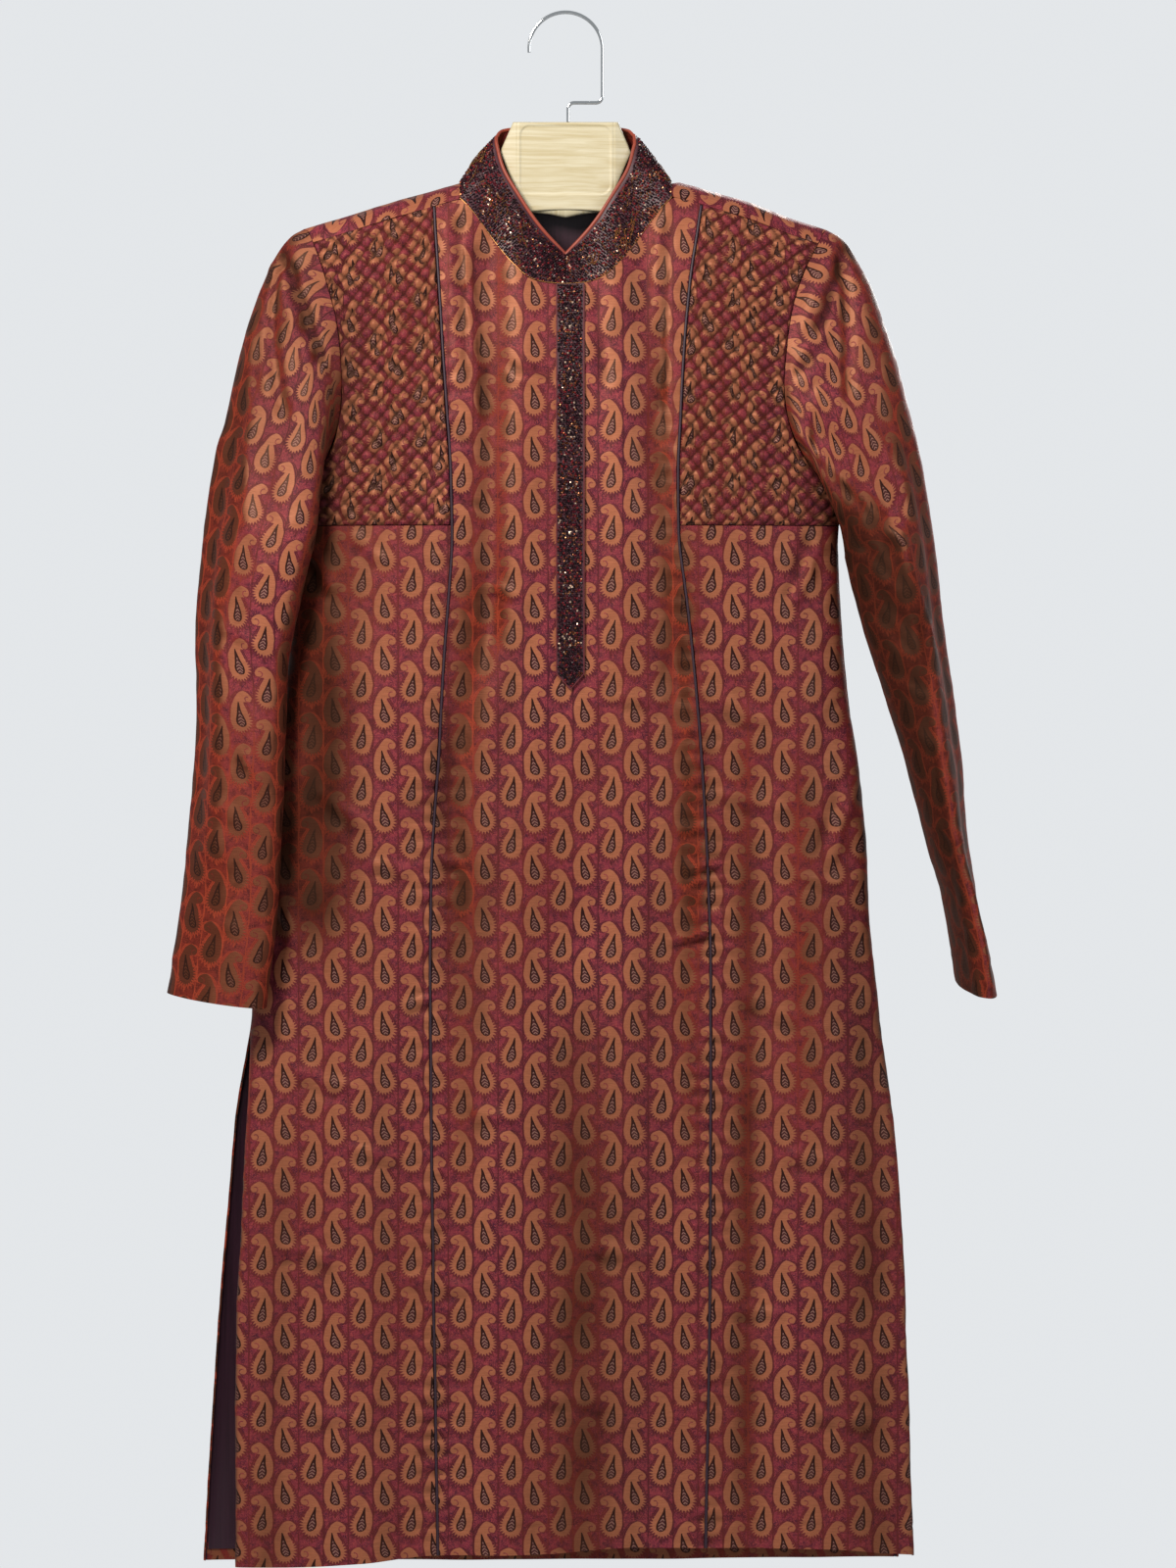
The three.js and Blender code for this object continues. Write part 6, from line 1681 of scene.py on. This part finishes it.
# %% Beads of the collar
rng = np.random.default_rng(11)
round_length = lengths(ruffled.mean(0))
stand = float(np.linalg.norm(ruffled[-1] - ruffled[0], axis=1).mean())
u, v = hexagonal(round_length[-1], stand * COLLAR_BEADS_TOP, BEAD_PITCH, rng)
column = np.interp(u, round_length, np.arange(len(round_length)))
row = v / stand * (COLLAR_ROWS - 1)
shade = np.clip(rng.uniform(0, 1, len(u)) ** 1.25 + 0.07 * uneven(u, v, 16, 3), 0, 0.999)
bead_field("collar_beads", collar_point(ruffled, way, column, row, 0.5), shade, 12)

# %% Binding and gold edge of the collar
rim = ruffled[-1] - way[-1] * COLLAR_WALL / 2
binding = tube("collar_binding", rim, 1.7, SELF_EDGE, sides=10, squash=0.85, normals=way[-1])
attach(binding, "root")
lower = tube("collar_edge", ruffled[0] + way[0] * 0.3, 0.4, GOLD, sides=6)
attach(lower, "root")
print(f"binding: {lengths(rim)[-1]:.0f} mm long")

# %% Gold thread of the collar
THREADS = 80


def thread_squiggle(number):
    """A short length of gold thread laid in loops over the beads."""
    start_u, start_v = rng.uniform(6, round_length[-1] - 24), rng.uniform(4, stand * 0.8)
    heading, bend = rng.uniform(-0.9, 0.9), rng.uniform(0.3, 0.8) * rng.choice((-1, 1))
    run = np.linspace(0, rng.uniform(9, 19), 16)
    u = start_u + run * math.cos(heading) + 1.6 * np.sin(run * bend)
    v = np.clip(start_v + run * math.sin(heading) + 2.6 * np.sin(run * bend * 1.3 + number), 2, stand * 0.9)
    column = np.interp(u, round_length, np.arange(len(round_length)))
    return collar_point(ruffled, way, column, v / stand * (COLLAR_ROWS - 1), 1.35)


threads = [tube("thread", thread_squiggle(number), 0.33, GOLD, sides=4) for number in range(THREADS)]
with bpy.context.temp_override(active_object=threads[0], selected_editable_objects=threads):
    bpy.ops.object.join()
threads = threads[0]
threads.name = "collar_threads"
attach(threads, "root")
print("gold threads:", THREADS)

# %% [markdown]
# ## The hanger
# The plate and the arms are one piece of pale maple, milled and lacquered, so the eye sees a straight faint
# grain under an even half-gloss. The plate's front is worked as a height over its outline: a rounded edge,
# wings that slope back, and a shallow field. The arms are sections along x, with their corners cut twice,
# which rounds them and never leaves the solid they stand for. The hook is a steel strip, bent and then
# plated with polished chrome, which mirrors the room. A faint haze keeps the mirror from looking too clean.

# %% Maple and chrome
def maple():
    material, tree, shader = new_material("pale_maple_lacquered")
    flat = add(tree, UV, uv_map=CLOTH_MAP)
    bend = add(tree, NOISE, {"Vector": flat, "Scale": 0.02, "Detail": 2.0}, noise_dimensions="2D")
    stretch = add(tree, VECTOR, {0: flat, 1: (0.012, 0.34, 1)}, operation="MULTIPLY")
    moved = add(tree, VECTOR, {0: bend.outputs["Color"], "Scale": 1.2}, operation="SCALE")
    moved = add(tree, VECTOR, {0: stretch, 1: moved}, operation="ADD")
    grain = add(tree, NOISE, {"Vector": moved, "Scale": 1.0, "Detail": 5.0}, noise_dimensions="2D")
    fine = add(tree, VECTOR, {0: flat, 1: (0.05, 1.6, 1)}, operation="MULTIPLY")
    fine = add(tree, NOISE, {"Vector": fine, "Scale": 1.0, "Detail": 3.0}, noise_dimensions="2D")
    grain = add(tree, MATH, {0: fine, 1: 0.35, 2: grain}, operation="MULTIPLY_ADD")
    ramp = add(tree, RANGE, {"Value": grain, "From Min": 0.5, "From Max": 0.85})
    bump = add(tree, "ShaderNodeBump", {"Height": grain, "Strength": 0.08, "Distance": 0.3 * MM})
    tint = blend_colours(tree, ramp, linear("#C8C1A6"), linear("#B6AA86"))
    tree.links.new(tint, shader.inputs["Base Color"])
    tree.links.new(bump.outputs[0], shader.inputs["Normal"])
    shader.inputs["Roughness"].default_value = 0.42
    return material


def chrome():
    material, tree, shader = new_material("polished_chrome_plate")
    place = add(tree, "ShaderNodeNewGeometry")
    haze = add(tree, NOISE, {"Vector": place.outputs["Position"], "Scale": 60.0, "Detail": 3.0})
    rough = add(tree, RANGE, {"Value": haze, "To Min": 0.04, "To Max": 0.14})
    tree.links.new(rough.outputs[0], shader.inputs["Roughness"])
    shader.inputs["Base Color"].default_value = linear("#DCE0E2")
    shader.inputs["Metallic"].default_value = 1.0
    return material


MAPLE = maple()
CHROME = chrome()
print("materials so far:", len(bpy.data.materials))

# %% Sizes of the plate
PLATE_TOP_Z, PLATE_WIDE_Z, PLATE_BOTTOM_Z = -89.0, -114.0, -163.0
PLATE_TOP, PLATE_WIDE, PLATE_BOTTOM, PLATE_ARCH, PLATE_DEPTH = 43.0, 54.0, 33.0, 2.0, 12.0
FIELD_HALF, FIELD_TOP_Z, FIELD_BOTTOM_Z, FIELD_CORNER, FIELD_RECESS = 37.0, -92.0, -148.0, 8.0, 0.8
WING_START, WING_SLOPE, PLATE_ROUND = 39.5, 0.34, 1.6


def plate_half(z):
    return np.interp(z, [PLATE_BOTTOM_Z, PLATE_WIDE_Z, PLATE_TOP_Z], [PLATE_BOTTOM, PLATE_WIDE, PLATE_TOP])


def plate_bottom(across):
    return PLATE_BOTTOM_Z + PLATE_ARCH * (1 - across**2)


print("plate:", 2 * PLATE_WIDE, "mm wide")

# %% Plate
def plate_face(x, z, across):
    """How far the plate's front stands back from its flat front plane."""
    half = plate_half(z)
    near = np.minimum((half - np.abs(x)) * 0.9, np.minimum(PLATE_TOP_Z - z, z - plate_bottom(across)))
    edge = np.clip(PLATE_ROUND - near, 0, PLATE_ROUND)
    back = PLATE_ROUND - np.sqrt(PLATE_ROUND**2 - edge**2)
    back = back + WING_SLOPE * np.maximum(0, np.abs(x) - WING_START)
    box_x = np.abs(x) - (FIELD_HALF - FIELD_CORNER)
    field_height, field_middle = FIELD_TOP_Z - FIELD_BOTTOM_Z, (FIELD_TOP_Z + FIELD_BOTTOM_Z) / 2
    box_z = np.abs(z - field_middle) - (field_height / 2 - FIELD_CORNER)
    box = np.hypot(np.maximum(box_x, 0), np.maximum(box_z, 0)) - FIELD_CORNER
    return back + FIELD_RECESS * smooth(0.5, -0.5, box) + 0.6 * bell(np.abs(x) - WING_START, 0.6)


def close_ends(count):
    """Shares from 0 to 1 with extra places near both ends, where the edge is rounded."""
    near = np.array([0, 0.003, 0.007, 0.012])
    return np.concatenate([near, np.linspace(0.02, 0.98, count), 1 - near[::-1]])


across = close_ends(130)[None, :] * 2 - 1
down = close_ends(90)[:, None]
z = mix(PLATE_TOP_Z, plate_bottom(across), down)
x = across * plate_half(z)
back = plate_face(x, z, across)
front = np.stack([x, -PLATE_DEPTH / 2 + back, z], -1)
behind = np.stack([x, np.full(x.shape, PLATE_DEPTH / 2) - np.clip(back, 0, PLATE_ROUND) * 0.9, z], -1)
plate = cloth_mesh("hanger_plate", front, behind, np.stack([x, z], -1), (MAPLE,))

# %% Arms
ARM_REACH, ARM_HALF_DEPTH = 203.0, 8.0


def arm_section(x):
    reach, inside = abs(x), -CLOTH - 2.5 * SEAM
    crown = float(ridge_z(x))
    bottom = mix(-168, crown - 24, (reach / ARM_REACH) ** 0.7)
    shoulder = float(np.clip((reach - 60) / 42, 0, 1))
    flat = mix(-150, float(body_point(x, crown, BACK, inside)[2]), shoulder)
    half = ARM_HALF_DEPTH * mix(0.55, 1, shoulder)
    edges = []
    for face in (FRONT, BACK):
        y, z = body_point(x, crown - 3.2, face, inside)[1:]
        edges.append((float(np.clip(abs(y), 2, half)), mix(flat, z - 0.6, shoulder)))
    (front_y, front_z), (back_y, back_z) = edges
    return [(x, -front_y, front_z - 1), (x, 0, flat), (x, back_y, back_z - 1), (x, back_y, bottom + 3),
            (x, 0, bottom), (x, -front_y, bottom + 3)]


def cut_corners(rings):
    after = np.roll(rings, -1, 1)
    return np.stack([mix(rings, after, 0.25), mix(rings, after, 0.75)], 2).reshape(len(rings), -1, 3)


left_stops, right_stops = np.linspace(-ARM_REACH, -60, 24), np.linspace(60, ARM_REACH, 24)
stops = np.concatenate([left_stops, np.linspace(-50, 50, 9), right_stops])
rings = cut_corners(cut_corners(np.array([arm_section(x) for x in stops])))
arms = lofted("hanger_arms", rings, MAPLE)
with bpy.context.temp_override(active_object=plate, selected_editable_objects=[plate, arms]):
    bpy.ops.object.join()
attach(plate, "root")
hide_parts("hanger_body")
print("arms reach", ARM_REACH, "mm to each side")

# %% Hook
HOOK_RADIUS, HOOK_STRIP, HOOK_DEPTH, HOOK_BEND = 30.0, 2.4, 10.0, 5.0
SHAFT_X, STEP_Z, SHAFT_END_Z = 2.0, -73.0, -88.7


def arc(x, z, radius, start, end, count):
    angle = np.linspace(start, end, count)
    return [(x + radius * math.cos(a), z + radius * math.sin(a)) for a in angle]


centre_z = -(HOOK_RADIUS - HOOK_STRIP / 2)
route = arc(0, centre_z, HOOK_RADIUS, math.pi * 1.03, 0, 64)
route += arc(HOOK_RADIUS - HOOK_BEND, STEP_Z + HOOK_BEND, HOOK_BEND, 0, -math.pi / 2, 14)
route += arc(SHAFT_X + HOOK_BEND, STEP_Z - HOOK_BEND, HOOK_BEND, math.pi / 2, math.pi, 14)
route += [(SHAFT_X, SHAFT_END_Z)]
route = np.array(route)
way_along = unit(np.gradient(route, axis=0))
half_strip, half_depth, cut = HOOK_STRIP / 2, HOOK_DEPTH / 2, 0.4
section = [(half_strip, -half_depth + cut), (half_strip, half_depth - cut), (half_strip - cut, half_depth),
           (-half_strip + cut, half_depth), (-half_strip, half_depth - cut), (-half_strip, -half_depth + cut),
           (-half_strip + cut, -half_depth), (half_strip - cut, -half_depth)]
rings = np.array([[(px - wz * a, y, pz + wx * a) for a, y in section]
                  for (px, pz), (wx, wz) in zip(route, way_along)])
hook = lofted("hook_strip", rings, CHROME)
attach(hook, "root")
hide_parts("hanger_hook")
print(f"hook strip: {lengths(route)[-1]:.0f} mm long")

# %% [markdown]
# ## Light and floor
# A large soft light from the upper left shows the folds, a weaker one from the right keeps the shadows
# open, and a pale world fills the rest, as in a bright room. The floor is plain and pale and lies well
# below the hem.

# %% Lights
def area_light(name, place, aim, size, power, colour):
    data = bpy.data.lights.new(name, "AREA")
    data.shape = "DISK"
    data.size = size * MM
    data.energy = power
    data.color = linear(colour)[:3]
    light = bpy.data.objects.new(name, data)
    light.location = Vector(place) * MM
    light.rotation_euler = (Vector(aim) - Vector(place)).to_track_quat("-Z", "Y").to_euler()
    bpy.context.collection.objects.link(light)


area_light("key", (-820, -1450, 600), (0, 0, -420), 560, 44, "#FFF6EC")
area_light("fill", (1700, -1700, 300), (0, 0, -450), 1300, 14, "#F4F3F4")
area_light("behind", (900, 2200, 500), (0, 0, -500), 1500, 40, "#FFFFFF")
print("lights:", len(bpy.data.lights))

# %% The bright room
ROOM_LIGHT, SEEN_LIGHT = 0.38, 0.88  # the room's light on things, and how bright the room itself looks
world = bpy.data.worlds.new("bright_room")
world.use_nodes = True
backdrop = world.node_tree.nodes["Background"]
backdrop.inputs["Color"].default_value = linear("#F1F4F7")
seen = add(world.node_tree, "ShaderNodeLightPath").outputs["Is Camera Ray"]
brightness = add(world.node_tree, MATH, {0: seen, 1: SEEN_LIGHT - ROOM_LIGHT, 2: ROOM_LIGHT},
                 operation="MULTIPLY_ADD")
world.node_tree.links.new(brightness.outputs[0], backdrop.inputs["Strength"])
bpy.context.scene.world = world
bpy.context.scene.view_settings.view_transform = "Standard"
print("room light", ROOM_LIGHT)

# %% The floor
FLOOR_Z, FLOOR_RADIUS, FLOOR_SIDES = -1750.0, 1900.0, 96


def painted_floor():
    material, tree, shader = new_material("matt_floor_paint")
    place = add(tree, "ShaderNodeNewGeometry")
    cloud = add(tree, NOISE, {"Vector": place.outputs["Position"], "Scale": 1.5, "Detail": 3.0})
    tint = blend_colours(tree, cloud, linear("#C6CACD"), linear("#D2D5D7"))
    tree.links.new(tint, shader.inputs["Base Color"])
    shader.inputs["Roughness"].default_value = 0.9
    return material


around = np.linspace(0, 2 * math.pi, FLOOR_SIDES, endpoint=False)
rim_points = [(FLOOR_RADIUS * math.cos(a), FLOOR_RADIUS * math.sin(a), FLOOR_Z) for a in around]
floor = new_piece("floor", rim_points, [list(range(FLOOR_SIDES))], (painted_floor(),))
print("floor:", FLOOR_Z, "mm below the hook")
